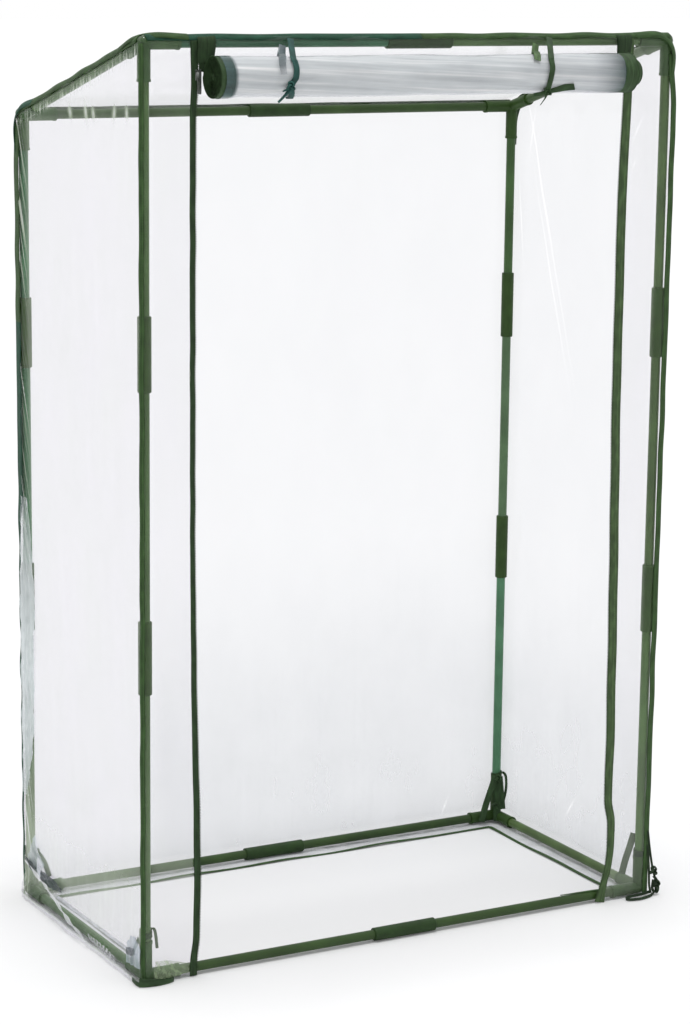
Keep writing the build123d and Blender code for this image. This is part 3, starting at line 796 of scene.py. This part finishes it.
seams = {
    ("corner_binding_tapes", "binding_green", "corner_bindings"): [
        seam_tape(SEAM_FEET[-1, -1], TOPS[-1, -1], (LEFTWARD, FORWARD), 70, 0.0085),
        edge_tape(front_right_foot, front_right_top, front_right_shift, RIGHTWARD, 0.0105, 74, 0.0075),
        edge_tape(back_left_split, back_left_top, back_left_shift, FORWARD, BACK_LEFT_WIDTH, 78),
        seam_tape(SEAM_FEET[1, 1], TOPS[1, 1], (RIGHTWARD, BACKWARD), 82),
    ],
    ("back_left_binding_tape", "binding_teal", "corner_bindings"): [
        edge_tape(back_left_foot, back_left_split, back_left_shift, FORWARD, BACK_LEFT_WIDTH, 79, narrow=0.3),
        corner_cap(TOPS[-1, 1], (-roof_down, left_roof_out), (DOWNWARD, unit(LEFTWARD + BACKWARD))),
    ],
    ("roof_binding_tapes", "binding_green", "roof_bindings"): [
        seam_tape(TOPS[-1, -1], TOPS[-1, 1], (LEFTWARD, ROOFWARD), 86, 0.019),
        seam_tape(TOPS[1, -1], TOPS[1, 1], (RIGHTWARD, ROOFWARD), 90, 0.012),
        seam_tape(TOPS[-1, 1], TOPS[1, 1], (BACKWARD, ROOFWARD), 94, 0.012),
        corner_cap(TOPS[-1, -1], (roof_down, left_roof_out), (RIGHTWARD, header_out)),
        corner_cap(TOPS[1, -1], (LEFTWARD, header_out), (DOWNWARD, unit(RIGHTWARD + FORWARD))),
        corner_cap(TOPS[1, 1], (-roof_down, right_roof_out), (DOWNWARD, unit(RIGHTWARD + BACKWARD))),
    ],
    ("door_header_tape_left", "binding_teal", "door_header_binding"): [
        seam_tape(TOPS[-1, -1], front_middle, (FORWARD, ROOFWARD), 98, 0.015),
    ],
    ("door_header_tape_right", "binding_green", "door_header_binding"): [
        seam_tape(front_middle, TOPS[1, -1], (FORWARD, ROOFWARD), 102, 0.015),
    ],
}
HEM_WIDTH, HEM_THICKNESS, HEM_Z = 0.008, 0.0012, 0.0016
HEM_LOOSE_END = [(404, -212, 19), (392, -208.5, 20.3), (358, -206, 20.5), (316, -204, 20.5)]
hem_profile = tape_profile(HEM_WIDTH, HEM_THICKNESS)
hem_right, hem_left = HEM_X - HEM_WIDTH / 2, HEM_WIDTH / 2 - HEM_X
hem_front, hem_back = HEM_FRONT - HEM_WIDTH / 2, HEM_BACK - HEM_WIDTH / 2


def hem(start, end, across, count, seed):
    """A tape on the ground along the skirt's inner edge."""
    return sweep(swaying((*start, HEM_Z), (*end, HEM_Z), seed, count, 0.0012, 0.25), across, hem_profile)


seams["skirt_hem_tapes", "binding_green", "skirt_bindings"] = [
    hem((hem_left, hem_back), (hem_right, hem_back), BACKWARD, 200, 106),
    hem((hem_right, hem_front), (hem_right, hem_back), RIGHTWARD, 100, 114),
    hem((hem_left, hem_front), (-ZIP_LINE, hem_front), BACKWARD, 20, 118),
    hem((ZIP_LINE, hem_front), (hem_right, hem_front), BACKWARD, 20, 122),
    sweep(smooth(MM * np.array(HEM_LOOSE_END), 30), BACKWARD, hem_profile, np.linspace(1.0, 0.3, 30)),
]
# The left hem is green tape painted pale grey: painted light of the hazy film folds over it
seams["left_hem_tape", "hem_pale", "skirt_bindings"] = [
    hem((hem_left, hem_front), (hem_left, hem_back), RIGHTWARD, 100, 110),
]
for (name, tape, replaced), pieces in seams.items():
    dress(joined(name, pieces), tapes[tape], COVER, "seam_tape", replaced)


# Zip tapes on the doorway's edges: height, distance of the inner edge from the middle, width (mm)
RIGHT_TAPE = [
    (3, 376, 22), (12, 382, 18), (34, 389, 13.5), (60, 398, 13.5), (95, 401.5, 14.5), (150, 400, 15.5),
    (177, 392.5, 15.5), (290, 392.5, 17.2), (540, 389, 17.8), (890, 382.5, 17.5), (1230, 381.5, 17.5),
    (1400, 386.5, 17), (1490, 389, 16),
]
LEFT_TAPE = [
    (3, 393, 13), (30, 393.7, 12), (60, 388.5, 11.2), (180, 386.8, 11.5), (300, 389.2, 10.7),
    (450, 393.7, 9.5), (700, 397.5, 8.2), (1100, 397.5, 9.2), (1370, 397, 10), (1420, 393.5, 11.5),
    (1490, 392.5, 13.5),
]
TAPE_HEIGHTS = np.linspace(GROUND + 0.001, FRONT_TOP + 0.004, 340)
TAPE_THICKNESS = 0.0008
TOOTH_PITCH, TOOTH_HALF, TOOTH_DEEP = 0.0026, 0.0007, 0.0006
# Half of a tooth's outline, from its root to its tip: place along it, share of its half width
TOOTH_OUTLINE = [(0.0008, 0.8), (-0.0010, 0.55), (-0.0016, 1), (-0.0024, 1), (-0.0028, 0.5)]


def tape_column(rows, column):
    """One column of a zip tape's table at the tape heights, smoothed over eleven of them."""
    table = MM * np.array(rows)
    values = np.interp(TAPE_HEIGHTS, table[:, 0], table[:, column])
    window = np.hanning(11) / np.hanning(11).sum()
    return np.convolve(np.pad(values, 5, mode="edge"), window, mode="valid")


def tape_depths(heights, seed):
    """Places of a slack tape, which waves before and behind the film's edge."""
    return TAPE_Y + 0.0005 * ripples(heights, 0 * heights, seed, 0.11)


def tooth(place, sign):
    """One zip tooth: a root on the tape, a neck and a wider head, chamfered at the tip."""
    outline = [(reach, -share * TOOTH_HALF) for reach, share in TOOTH_OUTLINE]
    outline += [(reach, -up) for reach, up in outline[::-1]]
    ring = np.array([(place[0] + sign * (reach + 0.0012), place[1], place[2] + up) for reach, up in outline])
    points = np.concatenate([ring + (0, TOOTH_DEEP, 0), ring - (0, TOOTH_DEEP, 0)])
    count = len(outline)
    faces = [(i, (i + 1) % count, count + (i + 1) % count, count + i) for i in range(count)]
    faces += [tuple(range(count))[::-1], tuple(range(count, 2 * count))]
    return points, faces, points[:, [2, 0]]


for name, sign, rows, seed, weave in (
    ("left", -1, LEFT_TAPE, 131, "zip_tape_weave"), ("right", 1, RIGHT_TAPE, 132, "zip_tape_weave_green"),
):
    edge, width = tape_column(rows, 1), tape_column(rows, 2)
    path = np.stack([sign * (edge + width / 2), tape_depths(TAPE_HEIGHTS, seed), TAPE_HEIGHTS], axis=-1)
    tape = sweep(path, (sign, 0, 0), tape_profile(1.0, TAPE_THICKNESS), width)
    dress(joined(f"{name}_zip_tape_weave", [tape]), tapes[weave], COVER, "seam_tape", f"{name}_zip_tape")
    heights = np.arange(0.012, FRONT_TOP - 0.01, TOOTH_PITCH)
    places = zip(sign * np.interp(heights, TAPE_HEIGHTS, edge), tape_depths(heights, seed), heights)
    teeth = [tooth(place, sign) for place in places]
    dress(joined(f"{name}_zip_teeth", teeth), plastics["connector_plastic"], COVER, "connector_plastic")


# Rolled door
TURNS, CORE, BAND_COLUMNS = 12, 0.006, 8
TELESCOPE = ROLL_TIP - ROLL_RIGHT


def dented(x, angle):
    """Share by which the roll's section swells or sinks, alike in every turn and nought at the back."""
    swell = 0.030 * np.sin(2 * angle + 2 * pi * x / 0.41) + 0.024 * np.sin(3 * angle - 2 * pi * x / 0.27 + 2)
    swell = swell + 0.016 * np.sin(5 * angle + 2 * pi * x / 0.16 + 1)
    swell = swell + 0.010 * np.sin(9 * angle - 2 * pi * x / 0.11)
    return (swell - 0.03) * (0.5 - 0.5 * np.cos(angle))


def slid(x, shares):
    """Where a place on the roll has slid to, by share of the way from the outer turn to the core."""
    return x + (TELESCOPE * easing(shares, 0.34, 0.42) if x > 0 else 0)


def round_roll(x, radius, angle, bent):
    """Points round the roll's axis, dented."""
    radius = radius * (1 + bent * dented(x, angle))
    return np.stack([x, ROLL_Y + radius * np.cos(angle), ROLL_Z + radius * np.sin(angle)], axis=-1)


def wound(left, right, columns, bent, turns_made=TURNS, proud=0.0):
    """Points, faces and UVs of a band of the wound door, from the tail at the roll's back to its core."""
    rows = int(turns_made * 40)
    share = np.linspace(0, turns_made / TURNS, rows)
    shares, across = np.meshgrid(share, np.linspace(0, 1, columns), indexing="ij")
    start, end = slid(left, shares), slid(right, shares)
    x = start + (end - start) * across
    radius = proud + ROLL_RADIUS - (ROLL_RADIUS - CORE) * shares
    points = round_roll(x, radius, -2 * pi * TURNS * shares, bent)
    along = np.repeat(lengths_along(points[:, 0])[:, None], columns, axis=1)
    uvs = np.stack([along + 0.06 * x, x], axis=-1)
    return points.reshape(-1, 3), grid_faces(rows, columns), uvs.reshape(-1, 2)


def end_face(place, outward):
    """The roll's end, closed by the edges of its turns: a shallow dish with a spiral ridge."""
    radii, angles = np.linspace(0.0015, ROLL_RADIUS * 0.985, 44), np.linspace(0, 2 * pi, 73)[:-1]
    radius, angle = np.meshgrid(radii, angles, indexing="ij")
    share = np.clip((ROLL_RADIUS - radius) / (ROLL_RADIUS - CORE), 0, 1)
    dish = 0.0014 + 0.003 * (1 - radius / ROLL_RADIUS)
    ridge = 0.0009 * np.sin(2 * pi * radius / 0.0042 + outward * angle)
    points = round_roll(slid(place, share) + outward * (ridge - dish), radius, angle, 0.25)
    uvs = np.stack([radius * angle, radius], axis=-1)
    return points.reshape(-1, 3), grid_faces(*radius.shape, wrap=True), uvs.reshape(-1, 2)


def roll_piece(name, pieces, material, slot, *replaced, veil=1.0):
    """A piece of the roll, with a mesh of its own."""
    made = dress(joined(name, pieces, veil), material, "door_roll", slot, *replaced)
    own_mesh(made)
    return made


roll_film = roll_piece(
    "door_roll_film", [wound(ROLL_FILM_LEFT, ROLL_FILM_RIGHT, 150, 1.0)], films["roll"],
    "clear_film", "door_roll",
)
for name, left, right, place, outward in (
    ("left_roll_end", ROLL_LEFT, ROLL_FILM_LEFT, ROLL_LEFT, -1),
    ("right_roll_end", ROLL_FILM_RIGHT, ROLL_RIGHT, ROLL_RIGHT, 1),
):
    pieces = [wound(left, right, BAND_COLUMNS, 0.25), end_face(place, outward)]
    roll_piece(f"{name}_tape", pieces, tapes["roll_end_weave"], "seam_tape", name)
LEFT_FADE = [1.0, 0.98, 0.95, 0.90, 0.86, 0.80, 0.55, 0.1]
RIGHT_FADE = [0.0, 0.05, 0.11, 0.18, 0.27, 0.38, 0.52, 0.68]
# Dark film at the roll's ends: start, width, share of the dents, turns, stand-off and haze across it
for name, start, width, bent, turned, proud, fade in (
    ("left", ROLL_FILM_LEFT - 0.0165, 0.021, 0.5, 1.4, 0.0010, LEFT_FADE),
    ("right", ROLL_FILM_RIGHT - 0.060, 0.060, 0.8, 1.2, 0.0006, RIGHT_FADE),
):
    band = wound(start, start + width, BAND_COLUMNS, bent, turned, proud)
    veil = np.tile(fade, len(band[0]) // BAND_COLUMNS)
    made = roll_piece(f"{name}_roll_seam_film", [band], films["roll_seam"], "clear_film", veil=veil)


# Stretch of the door between the header and the roll
BAR_CLEAR = FRONT_Y - CURTAIN_Y
HEADER_Z = FRONT_TOP + WRAP * header_out[2]
CURTAIN_ROWS = 61
CLEAR_OF_ROLL = 0.976


def over_bar(z, clear):
    """Depths at some heights on a sheet that hangs over the front top bar, clear of its axis."""
    return FRONT_Y - np.sqrt(clear**2 - np.clip(z - FRONT_TOP, 0, None) ** 2)


def hanging():
    """Depths and heights of the door's hanging stretch, in rows that come even when the door is let down."""
    share = np.linspace(0, 1, CURTAIN_ROWS)
    z = HEADER_Z + (ROLL_Z - HEADER_Z) * (0.5 - np.sin(np.arcsin(1 - 2 * share) / 3))
    return over_bar(z, BAR_CLEAR), z, share


def unrolls(piece):
    """The piece's place is baked into its mesh."""
    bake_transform(piece)


def curtain():
    """The door's film between the header and the roll."""
    x = np.linspace(ROLL_LEFT, ROLL_RIGHT, 160)
    ys, zs, shares = (np.repeat(column[:, None], len(x), axis=1) for column in hanging())
    xs = np.broadcast_to(x, zs.shape)
    waves = 0.0005 * ripples(xs, shares, 141, 0.09, heading=0.2) * np.sin(pi * shares)
    veil = 0.1 + 0.7 * (1 - easing(zs, FRONT_TOP - 0.024, FRONT_TOP - 0.014))
    points = np.stack([xs, ys + waves, zs], axis=-1)
    made = grid("door_curtain_film", points, np.stack([xs, shares], axis=-1), veil)
    dress(made, films["wall"], None, "clear_film", "door_curtain")
    unrolls(made)


def door_edge(name, inner, outer):
    """The door's half of a zip, sewn to the edge of the hanging stretch."""
    y, z, share = hanging()
    path = np.stack([np.full_like(z, (inner + outer) / 2), y - 0.0006, z], axis=-1)[share < CLEAR_OF_ROLL]
    made = joined(name, [sweep(path, RIGHTWARD, tape_profile(abs(outer - inner), TAPE_THICKNESS))])
    dress(made, tapes["zip_tape_weave"], None, "seam_tape")
    unrolls(made)


def joined_stretch(name, node_name, inner, outer):
    """The top of a zip, where both halves are sewn together under the header."""
    z = np.linspace(HEADER_Z, ROLL_Z + 0.020, 24)
    sway = 0.0008 * np.sin(9 * (HEADER_Z - z) / (HEADER_Z - ROLL_Z))
    path = np.stack([(inner + outer) / 2 + sway, over_bar(z, BAR_CLEAR + 0.0016), z], axis=-1)
    profile = tape_profile(abs(outer - inner), TAPE_THICKNESS)
    made = joined(name, [sweep(path, RIGHTWARD, profile, np.linspace(1.0, 0.9, len(z)))])
    dress(made, tapes["zip_tape_weave"], COVER, "seam_tape", node_name)


curtain()
door_edge("left_door_edge_tape", -0.379, -ZIP_LINE)
door_edge("right_door_edge_tape", ROLL_RIGHT - 0.002, ZIP_LINE)
joined_stretch("left_zip_top_tape", "left_zip_tape", -0.3645, -0.3955)
joined_stretch("right_zip_top_tape", "right_zip_tape", 0.3700, 0.3985)


# Ribbons; the tables of ties have their points and widths in mm
RIBBON, RIBBON_THICKNESS, BAND_WIDTH = 0.010, 0.0007, 0.009
STRIP_WIDTH, STRIP_STEPS = 1.15 * RIBBON, 40
POST_GRIP = 0.0102
ASLANT = (0.875, -0.485, 0)


def ribbon(points, across, width=RIBBON, tip=1.0, count=60):
    """A flat ribbon along some points, and its length; tip is its end's share of the width."""
    path = smooth(points, count)
    made = sweep(path, across, tape_profile(width, RIBBON_THICKNESS), np.linspace(1, tip, count))
    return made, lengths_along(path)[-1]


def knot(centre, size, seed):
    """A small overhand knot pulled tight."""
    t = np.linspace(0, 2 * pi, 90)
    turn = np.random.default_rng(seed).uniform(0, 2 * pi)
    wide, high, deep = np.sin(t) + 2 * np.sin(2 * t), np.cos(t) - 2 * np.cos(2 * t), -np.sin(3 * t)
    x, z = wide * cos(turn) - high * sin(turn), wide * sin(turn) + high * cos(turn)
    path = np.asarray(centre) + size / 6 * np.stack([x, 1.2 * deep, z], axis=-1)
    return sweep(path, (0.3, 1, 0.2), tape_profile(size * 0.42, size * 0.2))


def around(x, degrees, gap):
    """A point round the roll: 0 degrees is its back, 90 its top and 180 its front."""
    angle, radius = radians(degrees), ROLL_RADIUS + gap
    return (MM * x, ROLL_Y + radius * cos(angle), ROLL_Z + radius * sin(angle))


def hung_on_roll(made):
    """The piece gets a mesh of its own."""
    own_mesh(made)


def door_tie(name, node_name, material, front_run, back_run, knot_place, tails):
    """A ribbon from the header round both sides of the roll, tied below its front.

    Its runs are (x, degrees), and its tails (points, across, width, tip)."""
    front = [(MM * front_run[0][0], FRONT_Y - BAR_CLEAR - 0.0016, FRONT_TOP + 0.006)]
    front += [around(x, turn, 0.0014) for x, turn in front_run[1:]]
    back = [(MM * back_run[0][0], CURTAIN_Y + 0.0012, FRONT_TOP - 0.010)]
    back += [around(x, turn, 0.0010) for x, turn in back_run[1:]]
    ribbons = [ribbon(run + [knot_place], RIGHTWARD) for run in (front, back)]
    for points, across, width, tip in tails:
        ribbons.append(ribbon(np.vstack([knot_place, MM * np.array(points)]), across, MM * width, tip, 30))
    pieces = [piece for piece, _ in ribbons]
    made = joined(name, pieces[:2] + [knot(knot_place, 0.013, 151)] + pieces[2:])
    dress(made, tapes[material], COVER, "ribbon", node_name)
    hung_on_roll(made)


def spare_strip(name, material, places, veils):
    """A spare strip that hangs from the header beside a tie and ends on the roll; places are (x, degrees)."""
    header = (MM * places[0][0] + 0.0112, CURTAIN_Y - 0.0014, FRONT_TOP - 0.004)
    path = smooth([header] + [around(x, degrees, 0.0016) for x, degrees in places], STRIP_STEPS)
    piece = sweep(path, RIGHTWARD, tape_profile(STRIP_WIDTH, RIBBON_THICKNESS))
    hazes = np.repeat(spread_out(veils, STRIP_STEPS), len(piece[0]) // STRIP_STEPS)
    made = dress(joined(name, [piece], hazes), material, COVER, "ribbon")
    hung_on_roll(made)


door_tie(
    "left_tie_ribbon", "left_door_tie", "ribbon_teal",
    [(-237, 60), (-257.5, 120), (-258.5, 140), (-259, 160), (-261, 180), (-266, 194)],
    [(-248.5, 0), (-248.5, -3), (-248, -45), (-254, -90), (-262, -130)],
    around(-270, 201, 0.004),
    [
        ([(-278, -288.5, 1413.5), (-291, -286, 1400)], (0.5, 0.2, 0.8), 7, 0.6),
        ([(-277, -289, 1420), (-284, -287, 1416.5)], (0.2, 0.3, 0.9), 6, 0.4),
    ],
)
door_tie(
    "right_tie_ribbon", "right_door_tie", "ribbon_green",
    [(236, 60), (209, 120), (204.5, 140), (203, 160), (200.5, 180), (199, 210)],
    [(213, 0), (213, -3), (211, -45), (206, -90), (202, -118)],
    around(199, 228, 0.004),
    [
        ([(212, -281, 1412.5), (230, -280, 1416), (249, -279, 1418.5)], (0, 0.2, 1), 6, 2.2),
        ([(190, -280, 1408), (172, -279, 1405)], (0.1, 0.2, 1), 7, 0.8),
        ([(194, -279, 1400), (187, -276, 1388.5)], (1, 0.3, 0.4), 6, 0.5),
    ],
)
# The left strand is a dark see-through strip: partly the tie's back run seen through the roll, partly a
# painted shadow of the tie
spare_strip(
    "left_tie_inner_strand", films["strand"],
    [(-261.4, 62), (-268.5, 90), (-275.5, 120), (-281.2, 145), (-281.5, 172)],
    [1.0, 1.0, 0.9, 0.7, 0.45, 0.1],
)
spare_strip(
    "right_tie_inner_strand", tapes["ribbon_pale"],
    [(199.6, 62), (191.5, 90), (183, 120), (177.8, 140)], [1.0, 1.0, 0.9, 0.6, 0.1],
)


def corner_tie(name, material, corner, band, runs, knots):
    """Ribbons that tie a bottom corner of the cover to its post, starting with a band round the post.

    The band is (height, rise a turn, turns), runs are (points, across, width) and knots (place, seed)."""
    x, y, _ = FEET[corner]
    height, rise, turned = band
    angles = np.linspace(0, 2 * pi * turned, 14)
    heights = MM * (height + rise * angles / (2 * pi))
    grip = np.stack([x + POST_GRIP * np.cos(angles), y + POST_GRIP * np.sin(angles), heights], axis=-1)
    ribbons = [ribbon(grip, UP, BAND_WIDTH)]
    ribbons += [ribbon(MM * np.array(points), across, MM * width) for points, across, width in runs]
    pieces = [piece for piece, _ in ribbons]
    pieces += [knot(MM * np.array(place), 0.014, seed) for place, seed in knots]
    made = joined(name, pieces)
    dress(made, tapes[material], COVER, "ribbon", "corner_ties")


corner_tie(
    "back_right_corner_tie", "ribbon_green", (1, 1), (78, 8, 2.1),
    [
        ([(470, 259, 92), (458, 256, 66), (445, 253.5, 36), (435.5, 250.5, 8)], (0.9, -0.4, 0.4), 12),
        ([(474, 257.5, 88), (471, 254.5, 58), (469, 251.5, 26), (468, 247.5, 6)], ASLANT, 13),
        ([(479, 257.5, 90), (479.5, 252.5, 60), (480, 246.5, 28)], ASLANT, 10),
        ([(474, 258, 94), (481, 252, 99), (487.5, 250.5, 90), (488.5, 250.5, 66), (483, 252, 36)], ASLANT, 5),
    ],
    [((474, 257, 86), 161), ((470, 255, 36), 162)],
)
corner_tie(
    "front_right_corner_tie", "ribbon_dark", (1, -1), (80, -6, 2.1),
    [
        ([(473.5, -195, 108), (466.5, -194, 84), (458.5, -193, 60), (452, -193, 36)], ASLANT, 12),
        (
            [(485.5, -220.5, 118), (489.5, -222, 86), (496, -223, 50), (502.5, -224, 26), (504, -224, 4)],
            ASLANT, 4,
        ),
        ([(485.5, -221.5, 92), (488.5, -223, 50), (489.5, -224, 20), (492, -226, 4)], ASLANT, 4),
        (
            [
                (498.5, -224, 34), (505, -226, 24), (506.5, -227, 9), (500, -228, 4), (494.5, -227, 13),
                (497.5, -225, 28),
            ],
            ASLANT, 5,
        ),
        (
            [
                (499, -225.5, 3.5), (485, -234.5, 3), (462, -240.5, 3), (441, -236.5, 3), (437, -229, 3),
                (447, -224.5, 3.5), (470, -224, 4), (492, -223.5, 6),
            ],
            (0, 0.5, 1), 5,
        ),
    ],
    [((497.5, -224.5, 44), 163), ((503, -226.5, 18), 164)],
)
corner_tie(
    "front_left_corner_tie", "ribbon_green", (-1, -1), (74, 8, 1.6),
    [
        ([(-470, -200, 80), (-463, -198, 86.5), (-457, -197, 78), (-453.5, -197, 50)], ASLANT, 5),
        ([(-486, -198, 72), (-489, -186, 50), (-487, -172, 26)], (0, 1, 0.5), 9),
        (
            [
                (-499, -200, 6), (-499.5, -219, 5), (-493.5, -229.5, 5), (-470, -233, 4.5),
                (-448, -230.5, 4.5), (-437, -224.5, 4.5), (-441, -219, 4.5), (-462, -219.5, 5),
            ],
            UP, 8,
        ),
        ([(-497, -222, 10), (-485, -226.5, 8), (-462, -227, 4), (-445, -225.5, 3)], (0, 0.6, 1), 9),
    ],
    [((-470, -198, 78), 165)],
)
corner_tie(
    "back_left_corner_tie", "ribbon_dark", (-1, 1), (74, 8, 1.6),
    [
        ([(-470, 260, 80), (-458, 257, 60), (-448, 258, 32)], (1, 0, 0.4), 9),
        ([(-479, 258, 80), (-480, 247, 56), (-479, 234, 30)], (0, 1, 0.4), 9),
    ],
    [((-474, 258, 80), 166)],
)


# Slack film folded over at the left edges
FOLD_STEPS, FOLD_COLUMNS, FOLD_RISE = 90, 13, 0.0012


def slack_fold(name, film, seed, across, widths, veils, points, crumpled=0.0, under="left_panel_film"):
    """A fold of spare film along given points, with its widths (mm) and its hazes on the way.

    crumpled is the share of its haze that is broken up in patches."""
    path = smooth(points, FOLD_STEPS)
    sides, facing = directions(path, across)
    wide, hazes = spread_out(MM * np.array(widths), FOLD_STEPS), spread_out(veils, FOLD_STEPS)
    along = lengths_along(path)
    alongs, shares = np.meshgrid(along, np.linspace(-0.5, 0.5, FOLD_COLUMNS), indexing="ij")
    reaches = shares * wide[:, None]
    rise = ripples(reaches, alongs, seed, 0.014, heading=0.15, spread=0.3)
    patches = easing(ripples(reaches, alongs, seed + 40, 0.010, heading=0.9, spread=0.9), -0.1, 0.7)
    lift = FOLD_RISE * (rise + crumpled * patches)
    sheet = path[:, None] + sides[:, None] * reaches[..., None] + facing[:, None] * lift[..., None]
    haze = hazes[:, None] * (1 - crumpled + crumpled * patches)
    made = grid(name, sheet, np.stack([reaches, alongs], axis=-1), haze)
    dress(made, films[film], COVER, "clear_film")


# Name, film, seed, across, widths, hazes, points as (out of the left film, y, z) in mm, any crumpling
LEFT_FOLDS = [
    (
        "left_post_fold", "fold_pale", 170, (0, 1, 0), [30, 64, 57, 52, 14], [0.2, 0.85, 1.0, 0.95, 0.5],
        [(3, 248, 715), (3, 239.5, 560), (3, 240.5, 420), (3, 243, 290), (3, 260, 190)],
    ),
    (
        "left_corner_flap", "fold", 171, (0, -0.85, 0.52), [67, 58, 34], [1.0, 1.0],
        [(4, 234.5, 98), (5, 214, 86), (5, 181, 70)],
    ),
    # The next two folds are real folds of film; their near-black colour is painted shade
    (
        "left_corner_fold_back", "fold_dark", 172, UP, [6, 14, 15], [1.0, 0.95],
        [(7, 251.2, 76.5), (7, 228, 72.5), (7, 202, 65)],
    ),
    (
        "left_corner_fold_front", "fold_dark", 173, UP, [18, 23, 8], [1.0, 0.97, 0.8],
        [(7, 183, 66), (7, 148, 64.5), (6, 90, 64)],
    ),
    (
        "left_front_fold", "fold_blue", 175, (0, 1, 0.2), [20, 50, 48], [0.7, 0.9, 0.8],
        [(3, -190, 74), (4, -192, 56), (5, -194, 26)],
    ),
    # A real fold of film; its near-black colour is painted shade
    (
        "left_front_fold_dark", "fold_dark", 176, UP, [12, 14, 10], [0.8, 0.6, 0.3],
        [(6.5, -169, 44), (6.5, -184, 47), (6.5, -200, 51)],
    ),
    # A real fold along the tube; its white is a painted highlight
    (
        "left_foot_crease", "crease", 174, (-0.3, 0.3, 1), [6, 11, 12.5, 12.5, 6], [1.0, 1.0, 1.0, 0.9, 0.4],
        [(8, 246.5, 71.6), (10, 162, 56), (12, 95.5, 40), (12, 43, 24), (12, -30, 11)],
    ),
    # Crumpled film at the foot; its white patches are painted highlights
    (
        "left_foot_crumple", "crease", 177, (-0.3, 0.2, 1), [10, 20, 14], [0.9, 1.0, 0.9],
        [(6, -15, 18), (7, -60, 16.5), (7, -125, 14)], 0.95,
    ),
]
for name, film, seed, across, widths, veils, places, *crumpled in LEFT_FOLDS:
    points = [(-POST_X - WRAP - MM * out, MM * y, MM * z) for out, y, z in places]
    slack_fold(name, film, seed, across, widths, veils, points, *crumpled)
# Points as (x, out of the front film, z)
front_places = [(-470, 4, 24), (-445, 5, 21), (-408, 4, 18)]
slack_fold(
    "front_left_foot_crumple", "foot", 178, UP, [30, 30, 16], [0.7, 0.9, 0.6],
    [(MM * x, FRONT_Y - WRAP - MM * out, MM * z) for x, out, z in front_places],
    0.45, "front_left_panel_film",
)


# Floor, light and camera
def seen_directly(tree):
    """One for camera, glossy and transmission rays, nought for the light's own bounces."""
    seen = node(tree, "LightPath", out="Is Camera Ray")
    rays = seen.node.outputs
    for kind in ("Is Glossy Ray", "Is Transmission Ray"):
        seen = reckon(tree, "MAXIMUM", seen, rays[kind])
    return seen


def floor():
    """A plain white floor that keeps the object's shadow."""
    made, tree = new_material("floor_white")
    matt = node(tree, "BsdfDiffuse", {"Color": (0.84, 0.84, 0.845, 1)})
    glow = node(tree, "Emission", {"Strength": reckon(tree, "MULTIPLY", seen_directly(tree), 0.03)})
    output(tree, node(tree, "AddShader", {0: matt, 1: glow}))
    corners = 60.0 * np.array([(-1, -1, 0), (1, -1, 0), (1, 1, 0), (-1, 1, 0)])
    piece = mesh_object("studio_floor", corners, [(0, 1, 2, 3)], corners[:, :2])
    piece.location.z = -GROUND
    piece.data.materials.append(made)


def world_light():
    """Soft white light from all round, seen as white behind the object."""
    world = bpy.data.worlds.new("studio")
    bpy.context.scene.world = world
    world.use_nodes = True
    tree = world.node_tree
    tree.nodes.clear()
    soft = node(tree, "Background", {"Color": (1, 1, 1, 1), "Strength": 0.70})
    white = node(tree, "Background", {"Color": (1, 1, 1, 1), "Strength": 1.0})
    output(tree, node(tree, "MixShader", {0: seen_directly(tree), 1: soft, 2: white}), "World")


def studio_key():
    """A soft key from overhead, as even over the floor as a ceiling of soft boxes."""
    data = bpy.data.lights.new("soft_key", "SUN")
    data.angle = radians(18)
    data.energy = 1.6
    made = bpy.data.objects.new("soft_key", data)
    made.rotation_euler = Vector((0.0, 0.03, -1.0)).to_track_quat("-Z", "Y").to_euler()
    bpy.context.scene.collection.objects.link(made)


def camera():
    """The photograph's view: place, azimuth, elevation, roll and lens."""
    azimuth, elevation, roll = radians(-29.005), radians(11.277), radians(0.684)
    data = bpy.data.cameras.new("photo_camera")
    data.lens = 98.06
    data.sensor_width = 36.0
    made = bpy.data.objects.new("photo_camera", data)
    back = Vector((sin(azimuth) * cos(elevation), -cos(azimuth) * cos(elevation), sin(elevation)))
    right = (-back).cross(Vector((0, 0, 1))).normalized()
    up = right.cross(-back)
    turned_right = right * cos(roll) + up * sin(roll)
    turned_up = up * cos(roll) - right * sin(roll)
    turn = Matrix((turned_right, turned_up, back)).transposed()
    made.matrix_world = Matrix.Translation((-2.2634, -4.0674, 1.6191)) @ turn.to_4x4()
    bpy.context.scene.collection.objects.link(made)
    bpy.context.scene.camera = made


floor()
world_light()
studio_key()
camera()
bpy.context.scene.view_settings.view_transform = "Standard"
